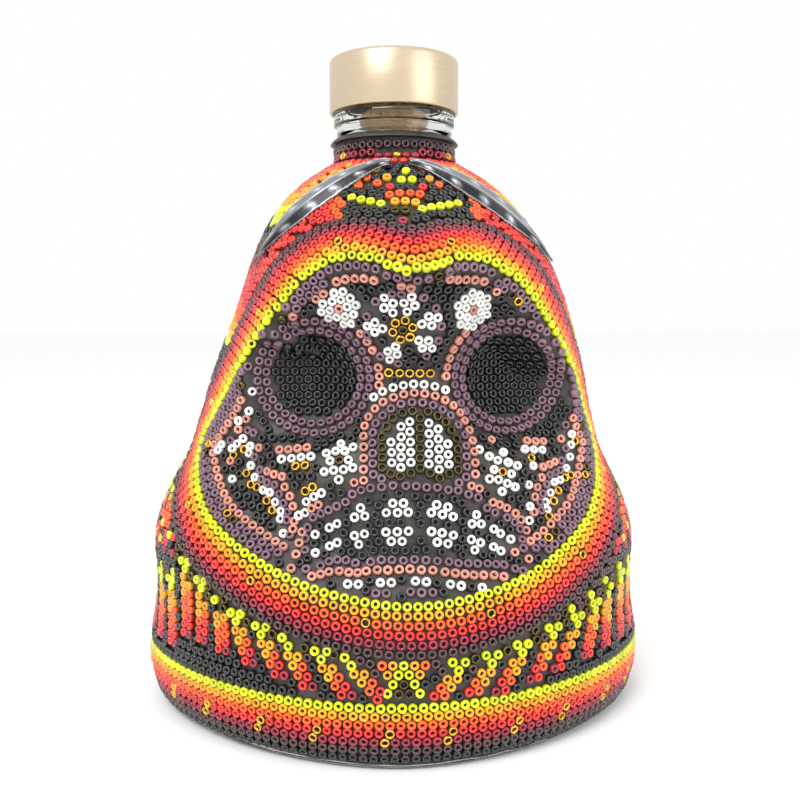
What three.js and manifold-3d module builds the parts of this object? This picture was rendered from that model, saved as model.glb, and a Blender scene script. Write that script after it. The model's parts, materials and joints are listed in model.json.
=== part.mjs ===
// A glass bottle moulded as a hooded, robed skull, coated with wax and set with seed beads.
// Millimetres, +Z up. The front faces -Y and the origin is the middle of the base.
import * as THREE from "three";
import { mergeVertices } from "three/addons/utils/BufferGeometryUtils.js";
import Module from "manifold-3d";

// ---------- driving dimensions ----------
const BODY_WIDTH = 138; // over the beads at the foot of the robe
const BODY_FRONT = 60; // from the neck's axis to the front of the robe
const BODY_BACK = 53; // from the neck's axis to the back of the robe
const SHOULDER_HEIGHT = 150; // from the table to the end of the beaded neck
const NECK_RADIUS = 18; // of the beaded neck
const HEEL_HEIGHT = 2.6; // bare glass between the table and the wax
const BEAD_HEIGHT = 1.7; // how far a pressed bead stands out
const BEAD_LIFT = 0.9; // room between the wax and the beads' solid
const ROW_PITCH = 2.0; // between the rows round the foot of the robe
const HOOD_PITCH = 2.2; // between the rows round the face
const ROW_GAP = 0.35; // between one row of beads and the next
const WAX_THICKNESS = 2.4;
const GLASS_GAP = 0.3; // between the wax and the glass
const WAX_EDGE = 2.6; // the bare wax that slopes up from the neck's beads to the glass
const GLASS_WALL = 4;
const GLASS_BASE = 8;
const COLLAR_RADIUS = 15.9; // the bare glass neck
const LIP_RADIUS = 16.6;
const LIP_HEIGHT = 3;
const BARE_NECK = 8.9; // bare glass neck between the wax and the cap
const BORE_RADIUS = 9.6;
const CAP_RADIUS = 17.5;
const CAP_HEIGHT = 14.3;
const CAP_WALL = 0.8;
const CAP_TOP = 1;
const INSERT_HEIGHT = 8;
const CORK_LENGTH = 22;
const CORK_CLEARANCE = 0.3; // cork to bore, all round
const SEAT_GAP = 0.3; // between the stopper and the lip, and between glued pieces
const TRIM_WIDTH = 4.6; // of the metal strips on the hood
const TRIM_HEIGHT = 2.4;
const HOOD_LEAN = 2; // the hood leans a little to one side
const BEADS_TOP = SHOULDER_HEIGHT - 0.7;

// ---------- the face: rows, eyes, nose, mouth and jaw ----------
const FACE_GAP = 0.4; // between the rows of beads on the face
const FACE_ROW = 1.45; // a row's width across the face
const FACE_PITCH = FACE_ROW + FACE_GAP;
const FIRST_ROW = HOOD_PITCH / 2 + 1; // from the opening's edge to the first row
const ROW_LIFT = 0.4; // a row bends less closely than the wax, so it starts a little higher
const CUT_GAP = 0.5; // from the wax to the trimmed foot of a row
const EYE = { x: 23, z: 88.8, width: 15.6, height: 16.2, socketWidth: 10.5, socketHeight: 10.9 };
const NOSE = { halfWidth: 11, low: 67.6, spring: 73, top: 86.8 };
const MOUTH = { halfWidth: 26.5, low: 50.9, spring: 57, top: 67.2 };
const LOWER_LIP = 21.5; // half its width
const JAW = 46.5; // where the rows round the face stop, above the chin
const JAW_TURN = 138; // where they stop, in degrees from the top of the face
const BROW_TURNS = [42, 36]; // where the second and third row stop above the eyes
const CHEEK_TURNS = [78, 84]; // where they start again beside the eyes

// ---------- the robe ----------
const HEEL_MARGIN = 0.4; // between the wax's lower edge and the first row
const SEAM = 0.7; // degrees left open each side of a seam
const SLEEVE_END = 112; // degrees from the front

// ---------- surface grid ----------
const FRONT_COLUMNS = 22; // over the front, where the face is
const BACK_COLUMNS = 14;
const FRONT_SPREAD = 78; // degrees each side of the front that the fine columns cover
const FACE_ROWS = 17;
const OPENING_STEP = 6; // degrees between the places of a row round the face
const EYE_STEPS = 24;
const ARCH_STEPS = 10;
const ARCH_POWER = 0.75;
const TRIM_STEPS = 12;
const BASE_STEPS = 32;

// ---------- small helpers ----------
const radians = THREE.MathUtils.degToRad;
const degrees = THREE.MathUtils.radToDeg;
const { lerp, clamp, smoothstep } = THREE.MathUtils;
const across = (x) => (x * BODY_WIDTH) / 138;
const upward = (z) => (z * SHOULDER_HEIGHT) / 150;
const range = (count) => Array.from({ length: count }, (_, i) => i);
const spread = (from, to, count) => range(count).map((i) => lerp(from, to, i / (count - 1)));
const hill = (x, width) => Math.exp(-((x / width) ** 2));

// A smooth curve through points that never overshoots them (monotone cubic).
function smoothCurve(points) {
  const xs = points.map((p) => p[0]);
  const ys = points.map((p) => p[1]);
  const slopes = range(xs.length - 1).map((i) => (ys[i + 1] - ys[i]) / (xs[i + 1] - xs[i]));
  const tangents = xs.map((_, i) => {
    if (i === 0 || i === xs.length - 1) return slopes[Math.min(i, slopes.length - 1)];
    if (slopes[i - 1] * slopes[i] <= 0) return 0;
    return (2 * slopes[i - 1] * slopes[i]) / (slopes[i - 1] + slopes[i]);
  });
  return (x) => {
    const at = clamp(x, xs[0], xs[xs.length - 1]);
    const i = clamp(xs.findIndex((v) => v > at) - 1, 0, xs.length - 2);
    const k = xs.findIndex((v) => v > at) < 0 ? xs.length - 2 : i;
    const h = xs[k + 1] - xs[k];
    const t = (at - xs[k]) / h;
    const a = ys[k] * (1 + 2 * t) * (1 - t) ** 2 + ys[k + 1] * t * t * (3 - 2 * t);
    return a + h * (tangents[k] * t * (1 - t) ** 2 - tangents[k + 1] * t * t * (1 - t));
  };
}

// ---------- the body's plan at each height ----------
// Each station is a height and the half width, front and back there, as parts of the largest.
const STATIONS = [
  [0, 0.94, 0.94, 0.96],
  [4.5, 0.978, 0.983, 0.98],
  [10, 1, 1, 1],
  [17, 0.993, 1, 0.98],
  [27, 0.957, 0.983, 0.96],
  [36, 0.949, 0.975, 0.943],
  [43, 0.957, 0.967, 0.943],
  [54, 0.928, 0.95, 0.943],
  [62, 0.877, 0.942, 0.934],
  [68, 0.833, 0.942, 0.925],
  [81, 0.79, 0.95, 0.887],
  [95, 0.732, 0.958, 0.83],
  [108, 0.664, 0.95, 0.755],
  [116, 0.623, 0.917, 0.698],
  [124, 0.572, 0.792, 0.632],
  [133, 0.486, 0.633, 0.547],
  [140, 0.37, 0.5, 0.434],
];
const NECK_START = upward(145.2);

function sectionCurve(column, size) {
  const body = STATIONS.map((s) => [upward(s[0]), s[column] * size]);
  const throat = [upward(143), NECK_RADIUS * (column === 2 ? 1.33 : 1.1)];
  return smoothCurve([...body, throat, [NECK_START, NECK_RADIUS], [SHOULDER_HEIGHT, NECK_RADIUS]]);
}
const halfWidth = sectionCurve(1, BODY_WIDTH / 2);
const frontReach = sectionCurve(2, BODY_FRONT);
const backReach = sectionCurve(3, BODY_BACK);
const roundness = (z) => 1.75 + 0.25 * clamp((z - 10) / 50, 0, 1);
const lean = (z) => HOOD_LEAN * hill(z - upward(108), upward(24));

function plainRadius(angle, z) {
  const reach = Math.cos(angle) > 0 ? frontReach(z) : backReach(z);
  const n = roundness(z);
  const side = (Math.abs(Math.sin(angle)) / halfWidth(z)) ** n;
  return (side + (Math.abs(Math.cos(angle)) / reach) ** n) ** (-1 / n);
}

function plainDepth(x, z) {
  const n = roundness(z);
  const part = clamp(1 - (Math.abs(x) / halfWidth(z)) ** n, 0, 1);
  return frontReach(z) * part ** (1 / n);
}

// ---------- the face in the hood's opening ----------
// The opening's edge, as half an outline from the dip at the brow round to the chin.
const OPENING = [[0, 114.5], [9, 116.5], [17, 118.3], [24.5, 114.5], [34, 105], [43, 92.5], [49, 80],
  [53, 68], [50.5, 58], [42, 50.5], [28, 43.7], [13, 40], [0, 39]];
const FACE_MIDDLE = 77;
const openingRadius = smoothCurve(OPENING.map(([x, z]) => {
  return [degrees(Math.atan2(x, z - FACE_MIDDLE)), Math.hypot(x, z - FACE_MIDDLE)];
}));
// The skull's own middle drifts sideways from the brow down to the jaw.
const skullShift = smoothCurve([[38, 2.5], [60, 2.8], [76, 2.8], [90, 1.2], [104, -0.5], [120, -1]]);
const openingShift = smoothCurve([[38, 3], [60, 0], [75, 0.2], [90, 0.9], [105, 0], [120, 0]]);

// How far inside the opening's edge a place on the face lies. Face places are in the
// face's own millimetres, which the body's width and height scale.
function insideOpening(x, z) {
  const dx = Math.abs(x - openingShift(z));
  const dz = z - FACE_MIDDLE;
  return openingRadius(degrees(Math.atan2(dx, dz))) - Math.hypot(dx, dz);
}


function faceRecess(x, z) {
  const edge = insideOpening(x, z);
  if (edge <= 0) return 0;
  const s = Math.abs(x - skullShift(z));
  const eye = Math.hypot((s - EYE.x) / EYE.width, (z - EYE.z) / EYE.height);
  let depth = 9 * smoothstep(edge, 0, lerp(8, 16, clamp((s - 25) / 20, 0, 1)));
  depth += 12.5 * (1 - smoothstep(eye, 0.3, 1.35)) * smoothstep(edge, 1, 13);
  depth += 9 * hill(s, 9) * hill(z - 89, 8.5);
  depth += 3 * hill(s, 20) * hill(z - 75, 6);
  depth -= 2.5 * hill(s - 27, 9) * hill(z - 67, 7);
  depth -= 2.6 * hill(s, 24) * hill(z - 55, 8);
  depth -= 2.5 * hill(s, 22) * hill(z - 44, 5) * smoothstep(edge, 0, 6);
  return Math.max(depth, 0);
}

function faceDepth(x, z) {
  return plainDepth(x, z) - faceRecess((x * 138) / BODY_WIDTH, (z * 150) / SHOULDER_HEIGHT);
}

// The radius of the wax at an angle from the front: the first place, going in, that is solid.
function bodyRadius(angle, z) {
  const outer = plainRadius(angle, z);
  if (Math.cos(angle) < 0.05) return outer;
  const outside = (r) => r * Math.cos(angle) > faceDepth(r * Math.sin(angle), z);
  let low = outer;
  while (low > 1 && outside(low)) low -= 1;
  if (low === outer) return outer;
  let high = low + 1;
  for (let i = 0; i < 12; i += 1) {
    const middle = (low + high) / 2;
    if (outside(middle)) high = middle;
    else low = middle;
  }
  return Math.min(low, outer);
}

// ---------- the wax's facets ----------
const FULL_TURN = 2 * Math.PI;
const COLUMNS = [
  ...range(FRONT_COLUMNS).map((i) => radians(lerp(-FRONT_SPREAD, FRONT_SPREAD, i / FRONT_COLUMNS))),
  ...range(BACK_COLUMNS).map((i) => {
    return radians(lerp(FRONT_SPREAD, 360 - FRONT_SPREAD, i / BACK_COLUMNS));
  }),
];
const FACE_LOW = upward(37);
const FACE_HIGH = upward(120);
const ROWS = [
  ...spread(HEEL_HEIGHT, FACE_LOW, 5).slice(0, 4),
  ...spread(FACE_LOW, FACE_HIGH, FACE_ROWS),
  ...[125, 129.5, 134, 138, 141, 143.3].map(upward),
  NECK_START,
  BEADS_TOP,
];
const WAX_RADII = ROWS.map((z) => COLUMNS.map((angle) => {
  return bodyRadius(angle, z) - BEAD_LIFT - BEAD_HEIGHT;
}));

// The radius on the wax's facets, each of which is half of a grid square.
function waxRadius(angle, z) {
  const turned = angle < COLUMNS[0] ? angle + FULL_TURN : angle;
  const wrapped = turned >= COLUMNS[0] + FULL_TURN ? turned - FULL_TURN : turned;
  const after = COLUMNS.findIndex((c) => c > wrapped);
  const c0 = after < 0 ? COLUMNS.length - 1 : after - 1;
  const c1 = (c0 + 1) % COLUMNS.length;
  const end = c1 === 0 ? COLUMNS[0] + FULL_TURN : COLUMNS[c1];
  const u = (wrapped - COLUMNS[c0]) / (end - COLUMNS[c0]);
  const above = ROWS.findIndex((r) => r > z);
  const r1 = above < 0 ? ROWS.length - 1 : Math.max(above, 1);
  const v = clamp((z - ROWS[r1 - 1]) / (ROWS[r1] - ROWS[r1 - 1]), 0, 1);
  const [low, high] = [WAX_RADII[r1 - 1], WAX_RADII[r1]];
  if (u + v <= 1) return low[c0] + u * (low[c1] - low[c0]) + v * (high[c0] - low[c0]);
  return high[c1] + (1 - u) * (high[c0] - high[c1]) + (1 - v) * (low[c1] - high[c1]);
}

function place(angle, z, out = 0) {
  const r = waxRadius(angle, z) + out;
  return new THREE.Vector3(r * Math.sin(angle) + lean(z), -r * Math.cos(angle), z);
}
const angleOf = (p) => Math.atan2(p.x - lean(p.z), -p.y);

// A place on the body as if it had no face, and the outward direction there.
function plainPlace(angle, z, out = 0) {
  const r = plainRadius(angle, z) + out;
  return new THREE.Vector3(r * Math.sin(angle) + lean(z), -r * Math.cos(angle), z);
}

function outwardAt(angle, z) {
  const along = plainPlace(angle + 0.03, z).sub(plainPlace(angle - 0.03, z));
  return along.cross(plainPlace(angle, z + 1).sub(plainPlace(angle, z - 1))).normalize();
}

const plainWax = (angle, z) => plainPlace(angle, z, -BEAD_LIFT - BEAD_HEIGHT);

// ---------- solids from rings of points ----------
// Joins rings of points in order. A closed run meets itself; an open one gets flat ends.
// The squares of the first columns can be split the other way, to match the layer below.
function loft(rings, closed = false, turnedColumns = 0) {
  const size = rings[0].length;
  const index = [];
  const quad = (k, a, b, c, d) => {
    index.push(...(k < turnedColumns ? [a, b, d, b, c, d] : [a, b, c, a, c, d]));
  };
  const runs = closed ? rings.length : rings.length - 1;
  for (let i = 0; i < runs; i += 1) {
    const here = i * size;
    const next = ((i + 1) % rings.length) * size;
    for (let k = 0; k < size; k += 1) {
      const l = (k + 1) % size;
      quad(k, here + k, here + l, next + l, next + k);
    }
  }
  if (!closed) {
    addEnd(index, 0, size, true);
    addEnd(index, (rings.length - 1) * size, size, false);
  }
  return solidGeometry(rings.flat(), index);
}

function addEnd(index, first, size, flipped) {
  for (let k = 0; k < size / 2 - 1; k += 1) {
    const [a, b] = [first + k, first + k + 1];
    const [c, d] = [first + size - 2 - k, first + size - 1 - k];
    const faces = [[a, b, d]];
    if (b !== c) faces.push([b, c, d]);
    for (const [p, q, r] of faces) index.push(...(flipped ? [p, r, q] : [p, q, r]));
  }
}

function solidGeometry(points, index) {
  let volume = 0;
  for (let i = 0; i < index.length; i += 3) {
    const [a, b, c] = [points[index[i]], points[index[i + 1]], points[index[i + 2]]];
    volume += a.dot(b.clone().cross(c));
  }
  const facing = volume > 0 ? index : index.slice().reverse();
  const geometry = new THREE.BufferGeometry();
  geometry.setAttribute("position", new THREE.Float32BufferAttribute(points.flatMap((p) => [p.x, p.y, p.z]), 3));
  geometry.setIndex(facing);
  return geometry;
}

// ---------- rows of beads as strips ----------
// A route is a list of [angle, height] places. Its strip is one bead row's outer shape.
function rowStrip(route, closed, width, height = BEAD_HEIGHT) {
  const points = route.map(([angle, z]) => plainWax(angle, z));
  const rings = points.map((p, i) => {
    const before = points[closed ? (i + points.length - 1) % points.length : Math.max(i - 1, 0)];
    const after = points[closed ? (i + 1) % points.length : Math.min(i + 1, points.length - 1)];
    const outward = outwardAt(...route[i]);
    const sideways = after.clone().sub(before).normalize().cross(outward).normalize();
    const corner = (side, out) => {
      return p.clone().addScaledVector(sideways, (side * width) / 2).addScaledVector(outward, out);
    };
    const [low, high] = [BEAD_LIFT, BEAD_LIFT + height];
    return [corner(-1, low), corner(1, low), corner(1, high), corner(-1, high)];
  });
  return loft(rings, closed);
}

function ringRow(z, steps) {
  const route = range(steps).map((i) => [(FULL_TURN * i) / steps - Math.PI, z]);
  return rowStrip(route, true, ROW_PITCH - ROW_GAP);
}

// Evenly spaced places along a route, measured along the wax.
function evenRoute(route, closed, count) {
  const points = route.map(([angle, z]) => plainWax(angle, z));
  const total = closed ? [...points, points[0]] : points;
  const lengths = [0];
  for (let i = 1; i < total.length; i += 1) {
    lengths.push(lengths[i - 1] + total[i].distanceTo(total[i - 1]));
  }
  const whole = lengths[lengths.length - 1];
  return range(count).map((i) => {
    const at = (whole * i) / (closed ? count : count - 1);
    const passed = lengths.filter((l) => l < at).length;
    const k = Math.min(lengths.length - 1, Math.max(1, passed));
    const t = (at - lengths[k - 1]) / (lengths[k] - lengths[k - 1]);
    const p = total[k - 1].clone().lerp(total[k], Math.min(t, 1));
    return [angleOf(p), p.z];
  });
}

// The next row out (or in) round the face, one pitch away along the wax.
function offsetRoute(route, closed, distance) {
  const points = route.map(([angle, z]) => plainWax(angle, z));
  const count = points.length;
  return route.map(([angle, z], i) => {
    const before = points[closed ? (i + count - 1) % count : Math.max(i - 1, 0)];
    const after = points[closed ? (i + 1) % count : Math.min(i + 1, count - 1)];
    const sideways = after.clone().sub(before).normalize().cross(outwardAt(angle, z)).normalize();
    const p = points[i].clone().addScaledVector(sideways, -distance);
    return [angleOf(p), p.z];
  });
}

// ---------- the rows round the face ----------
const HOOD_STEPS = 48;
const OPENING_POINTS = range(2 * HOOD_STEPS).map((i) => {
  const turn = (360 * i) / (2 * HOOD_STEPS);
  const side = turn < 180 ? 1 : -1;
  const radius = openingRadius(turn < 180 ? turn : 360 - turn);
  const x = side * radius * Math.sin(radians(turn < 180 ? turn : 360 - turn));
  const z = FACE_MIDDLE + radius * Math.cos(radians(turn));
  return [across(x + openingShift(z)), upward(z)];
});
const openingAngle = ([x, z]) => [Math.atan2(x, plainDepth(x, z)), z];
const YELLOW_ROUTE = evenRoute(OPENING_POINTS.map(openingAngle), true, HOOD_STEPS);
const HOOD_COLOURS = ["yellow", "amber", "orange", "red", "maroon", "brown"];

function hoodRoutes() {
  const routes = [YELLOW_ROUTE];
  for (let i = 1; i < HOOD_COLOURS.length; i += 1) {
    routes.push(offsetRoute(routes[i - 1], true, HOOD_PITCH));
  }
  return routes;
}
const HOOD_ROUTES = hoodRoutes();
const OUTER_ROUTE = HOOD_ROUTES[HOOD_ROUTES.length - 1];


// The outermost row's extent at a height on one side, and its lowest and highest at an angle.
function routeCrossings(value, at, read) {
  const found = [];
  OUTER_ROUTE.forEach((p, i) => {
    const q = OUTER_ROUTE[(i + 1) % OUTER_ROUTE.length];
    if ((p[at] - value) * (q[at] - value) > 0 || p[at] === q[at]) return;
    found.push(lerp(p[read], q[read], (value - p[at]) / (q[at] - p[at])));
  });
  return found;
}
const hoodSide = (z, side) => Math.max(0, ...routeCrossings(z, 1, 0).map((angle) => side * angle));
const hoodLow = (angle) => Math.min(...routeCrossings(angle, 0, 1));
const hoodHigh = (angle) => Math.max(...routeCrossings(angle, 0, 1));
const HOOD_MARGIN = 2.4; // from the outermost row's middle to the next beads

// ---------- the metal strips along the hood's ridges ----------
const RIDGE = [[6, 140.8], [14, 139.2], [26, 135.3], [38, 129.5], [48, 123.5], [56, 118.5], [61, 115]];
const ridgeHeight = smoothCurve(RIDGE.map(([turn, z]) => [turn, upward(z)]));
const ridgeTurn = smoothCurve(RIDGE.map(([turn, z]) => [upward(z), turn]).reverse());

function trimStrip(side) {
  const route = spread(RIDGE[0][0], RIDGE[RIDGE.length - 1][0], 3 * TRIM_STEPS).map((turn) => {
    return [radians(side * turn), ridgeHeight(turn)];
  });
  return rowStrip(evenRoute(route, false, TRIM_STEPS), false, TRIM_WIDTH, TRIM_HEIGHT);
}
const RIDGE_MARGIN = TRIM_WIDTH / 2 + 2.2;

// ---------- areas of beads as thin panels ----------
function panel(rows) {
  return loft(rows.map((row) => {
    const low = row.map(([angle, z]) => liftedPlace(angle, z, BEAD_LIFT));
    const high = row.map(([angle, z]) => liftedPlace(angle, z, BEAD_LIFT + BEAD_HEIGHT));
    return [...high, ...low.reverse()];
  }));
}
const liftedPlace = (angle, z, out) => plainWax(angle, z).addScaledVector(outwardAt(angle, z), out);

const BASE_COLOURS = ["black", "brown", "maroon", "red", "orange", "amber", "yellow"];
const baseRowHeight = (i) => HEEL_HEIGHT + HEEL_MARGIN + ROW_PITCH * (i + 0.5);
const ROBE_LOW = baseRowHeight(BASE_COLOURS.length - 1) + ROW_PITCH / 2 + ROW_GAP;
const ROBE_HIGH = upward(42.4);
const SLEEVE_LOW = ROBE_HIGH + 0.7;
const SLEEVE_HIGH = upward(63.8);
const MANTLE_LOW = SLEEVE_HIGH + 0.8;
const MANTLE_HIGH = upward(140);

// The patterned band round the robe is a closed loop, so its ring of corners runs upward.
function robeBand() {
  const turns = spread(-180, 180, 45).slice(0, 44);
  return loft(turns.map((turn) => {
    const angle = radians(turn);
    const high = Math.min(ROBE_HIGH, hoodLow(angle) - HOOD_MARGIN);
    const low = ROBE_LOW;
    const heights = high - low > 12 ? [low, lerp(low, high, 0.5), high] : [low, (low + high) / 2, high];
    const inner = heights.map((z) => liftedPlace(angle, z, BEAD_LIFT));
    const outer = heights.map((z) => liftedPlace(angle, z, BEAD_LIFT + BEAD_HEIGHT));
    return [...outer, ...inner.reverse()];
  }), true);
}

function sleeve(side) {
  return panel(spread(SLEEVE_LOW, SLEEVE_HIGH, 5).map((z) => {
    const start = hoodSide(z, side) + radians(3.5);
    return spread(start, radians(SLEEVE_END - SEAM), 6).map((angle) => [side * angle, z]);
  }));
}

function backPanel() {
  const [from, to] = [radians(SLEEVE_END + SEAM), radians(360 - SLEEVE_END - SEAM)];
  return panel(spread(SLEEVE_LOW, SLEEVE_HIGH, 4).map((z) => {
    return spread(from, to, 14).map((angle) => [angle, z]);
  }));
}

function mantleStart(z, side) {
  const past = radians(ridgeTurn(z)) + RIDGE_MARGIN / Math.max(waxRadius(side, z), 20);
  const hood = hoodSide(z, side) + radians(3.5);
  return z > upward(108) ? Math.max(past, hood) : hood;
}

function mantle() {
  const heights = [74, 84, 94, 103, 111, 117, 123, 129, 133.5, 137].map(upward);
  return panel([MANTLE_LOW, ...heights, MANTLE_HIGH].map((z) => {
    const row = spread(mantleStart(z, 1), FULL_TURN - mantleStart(z, -1), 20);
    return row.map((angle) => [angle, z]);
  }));
}

function crown() {
  const turns = spread(-55, 55, 15);
  const levels = spread(0, 1, 3);
  return panel(turns.map((turn) => {
    const angle = radians(turn);
    const low = hoodHigh(angle) + HOOD_MARGIN;
    const high = ridgeHeight(Math.abs(turn)) - 3.6;
    return levels.map((t) => [angle, lerp(low, high, t)]);
  }));
}

// ---------- the face, cut from one shell of beads ----------
const wasm = await Module();
wasm.setup();

function toManifold(geometry) {
  const plain = new THREE.BufferGeometry();
  plain.setAttribute("position", geometry.getAttribute("position").clone());
  if (geometry.index) plain.setIndex(geometry.index.clone());
  const merged = mergeVertices(plain, 1e-4);
  return new wasm.Manifold(new wasm.Mesh({
    numProp: 3,
    vertProperties: new Float32Array(merged.getAttribute("position").array),
    triVerts: new Uint32Array(merged.index.array),
  }));
}

function fromManifold(solid) {
  const { vertProperties, triVerts } = solid.getMesh();
  const geometry = new THREE.BufferGeometry();
  geometry.setAttribute("position", new THREE.Float32BufferAttribute(vertProperties, 3));
  geometry.setIndex(new THREE.Uint32BufferAttribute(triVerts, 1));
  return geometry;
}

function largest(solid) {
  const bodies = solid.decompose();
  return bodies.reduce((best, body) => (body.volume() > best.volume() ? body : best));
}

// The front of the body between two distances from the wax.
function faceLayer(lowAt, highAt) {
  const columns = COLUMNS.slice(0, FRONT_COLUMNS + 1);
  const rows = ROWS.filter((z) => z >= FACE_LOW - 0.01 && z <= FACE_HIGH + 0.01);
  return toManifold(loft(rows.map((z) => {
    const low = columns.map((angle) => place(angle, z, lowAt(angle, z)));
    const high = columns.map((angle) => place(angle, z, highAt));
    return [...high, ...low.reverse()];
  }), false, columns.length - 1));
}
const faceShell = () => faceLayer(() => BEAD_LIFT, BEAD_LIFT + BEAD_HEIGHT);

// Everything under the face's beads. The rows of beads are trimmed to clear it.
const faceCore = () => faceLayer((angle, z) => CUT_INSIDE - waxRadius(angle, z), CUT_GAP);

// A cutter the shape of an outline on the face, running in to the axis and out past the
// beads. Outline places are in the face's own millimetres.
function cutter(outline) {
  const inner = BEAD_LIFT - CUT_MARGIN;
  const outer = BEAD_LIFT + BEAD_HEIGHT + CUT_MARGIN;
  const ends = outline.map((p) => faceAngle(p));
  const atRadius = (r) => outline.map(([, z], i) => {
    const height = upward(z);
    return new THREE.Vector3(r * Math.sin(ends[i]) + lean(height), -r * Math.cos(ends[i]), height);
  });
  const lifted = (out) => outline.map(([, z], i) => place(ends[i], upward(z), out));
  return toManifold(loft([atRadius(CUT_INSIDE), lifted(inner), lifted(outer), atRadius(CUT_OUTSIDE)]));
}
const CUT_MARGIN = 0.5;
const CUT_INSIDE = 3;
const CUT_OUTSIDE = 400;
const centred = ([x, z]) => [x + skullShift(z), z];

// The angle at which a place on the face lies on top of the beads.
function faceAngle([x, z]) {
  const height = upward(z);
  let [low, high] = [-radians(FRONT_SPREAD), radians(FRONT_SPREAD)];
  for (let i = 0; i < 24; i += 1) {
    const middle = (low + high) / 2;
    const r = waxRadius(middle, height) + BEAD_LIFT + BEAD_HEIGHT;
    if (r * Math.sin(middle) < across(x)) low = middle;
    else high = middle;
  }
  return low;
}
const facePlace = (p, out) => place(faceAngle(p), upward(p[1]), out);

// One row of beads between two outlines that have the same number of places.
function faceRow(inner, outer, closed) {
  const [low, high] = [BEAD_LIFT + ROW_LIFT, BEAD_LIFT + BEAD_HEIGHT];
  return loft(inner.map((p, i) => {
    return [facePlace(p, low), facePlace(outer[i], low), facePlace(outer[i], high), facePlace(p, high)];
  }), closed);
}

// The opening's edge drawn in by an inset, from one turn to another, in degrees from the top.
function openingOutline(inset, from = 0, to = 360 - OPENING_STEP) {
  return spread(from, to, Math.round((to - from) / OPENING_STEP) + 1).map((turn) => {
    const way = ((turn % 360) + 360) % 360;
    const radius = openingRadius(way < 180 ? way : 360 - way) - inset;
    const z = FACE_MIDDLE + radius * Math.cos(radians(way));
    return [radius * Math.sin(radians(way)) + openingShift(z), z];
  });
}

function eyeOutline(side, grow) {
  return range(EYE_STEPS).map((i) => {
    const turn = (FULL_TURN * i) / EYE_STEPS;
    const x = side * EYE.x + skullShift(EYE.z) + (EYE.socketWidth + grow) * Math.cos(turn);
    return [x, EYE.z + (EYE.socketHeight + grow) * Math.sin(turn)];
  });
}

// A round-topped arch, open at its foot: the nose and the lips.
function archOutline({ halfWidth: half, low, spring, top }, inset, foot = 0) {
  const round = range(ARCH_STEPS + 1).map((i) => {
    const turn = (Math.PI * i) / ARCH_STEPS;
    const c = Math.cos(turn);
    const x = (half - inset) * Math.sign(c) * Math.abs(c) ** ARCH_POWER;
    return [x, spring + (top - inset - spring) * Math.sin(turn) ** ARCH_POWER];
  });
  const foots = foot > 0 ? [low, low - foot] : [low];
  const right = foots.map((z) => [half - inset, z]).reverse();
  return [...right, ...round, ...foots.map((z) => [inset - half, z])].map(centred);
}
const boxOutline = (x0, z0, x1, z1) => [[x0, z0], [x1, z0], [x1, z1], [x0, z1]].map(centred);


// The part of a row round the face between two turns, in degrees from the top. Only the
// outermost row runs past the eyes: the others stop there and go on down each cheek.
function openingRow(row, from, to) {
  const near = FIRST_ROW + row * FACE_PITCH;
  const outline = (inset) => openingOutline(inset, from, to);
  return faceRow(outline(near + FACE_ROW), outline(near), false);
}

function openingRows() {
  const rows = { brow_course_outer_mauve: openingRow(0, -JAW_TURN, JAW_TURN) };
  ["mauve", "pink"].forEach((colour, i) => {
    const [brow, cheek] = [BROW_TURNS[i], CHEEK_TURNS[i]];
    rows[`brow_course_inner_${colour}`] = openingRow(i + 1, -brow, brow);
    rows[`left_cheek_course_${colour}`] = openingRow(i + 1, -JAW_TURN, -cheek);
    rows[`right_cheek_course_${colour}`] = openingRow(i + 1, cheek, JAW_TURN);
  });
  return rows;
}

function eyeParts(name, side) {
  const row = (start) => faceRow(eyeOutline(side, start), eyeOutline(side, start + FACE_ROW), true);
  return {
    [`${name}_eye_inner_course`]: row(FACE_GAP),
    [`${name}_eye_outer_course`]: row(FACE_GAP + FACE_PITCH),
  };
}

function archRow(form, row) {
  const near = row * FACE_PITCH;
  return faceRow(archOutline(form, near + FACE_ROW), archOutline(form, near), false);
}

function lowerLip() {
  const edge = (z) => spread(-LOWER_LIP, LOWER_LIP, 14).map((x) => centred([x, z]));
  return faceRow(edge(JAW + FACE_GAP), edge(MOUTH.low - FACE_GAP), false);
}

function faceCourses() {
  return {
    ...openingRows(),
    ...eyeParts("left", -1),
    ...eyeParts("right", 1),
    nose_outer_course: archRow(NOSE, 0),
    nose_inner_course: archRow(NOSE, 1),
    upper_lip_outer_course: archRow(MOUTH, 0),
    upper_lip_inner_course: archRow(MOUTH, 1),
    lower_lip_course: lowerLip(),
  };
}

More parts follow.
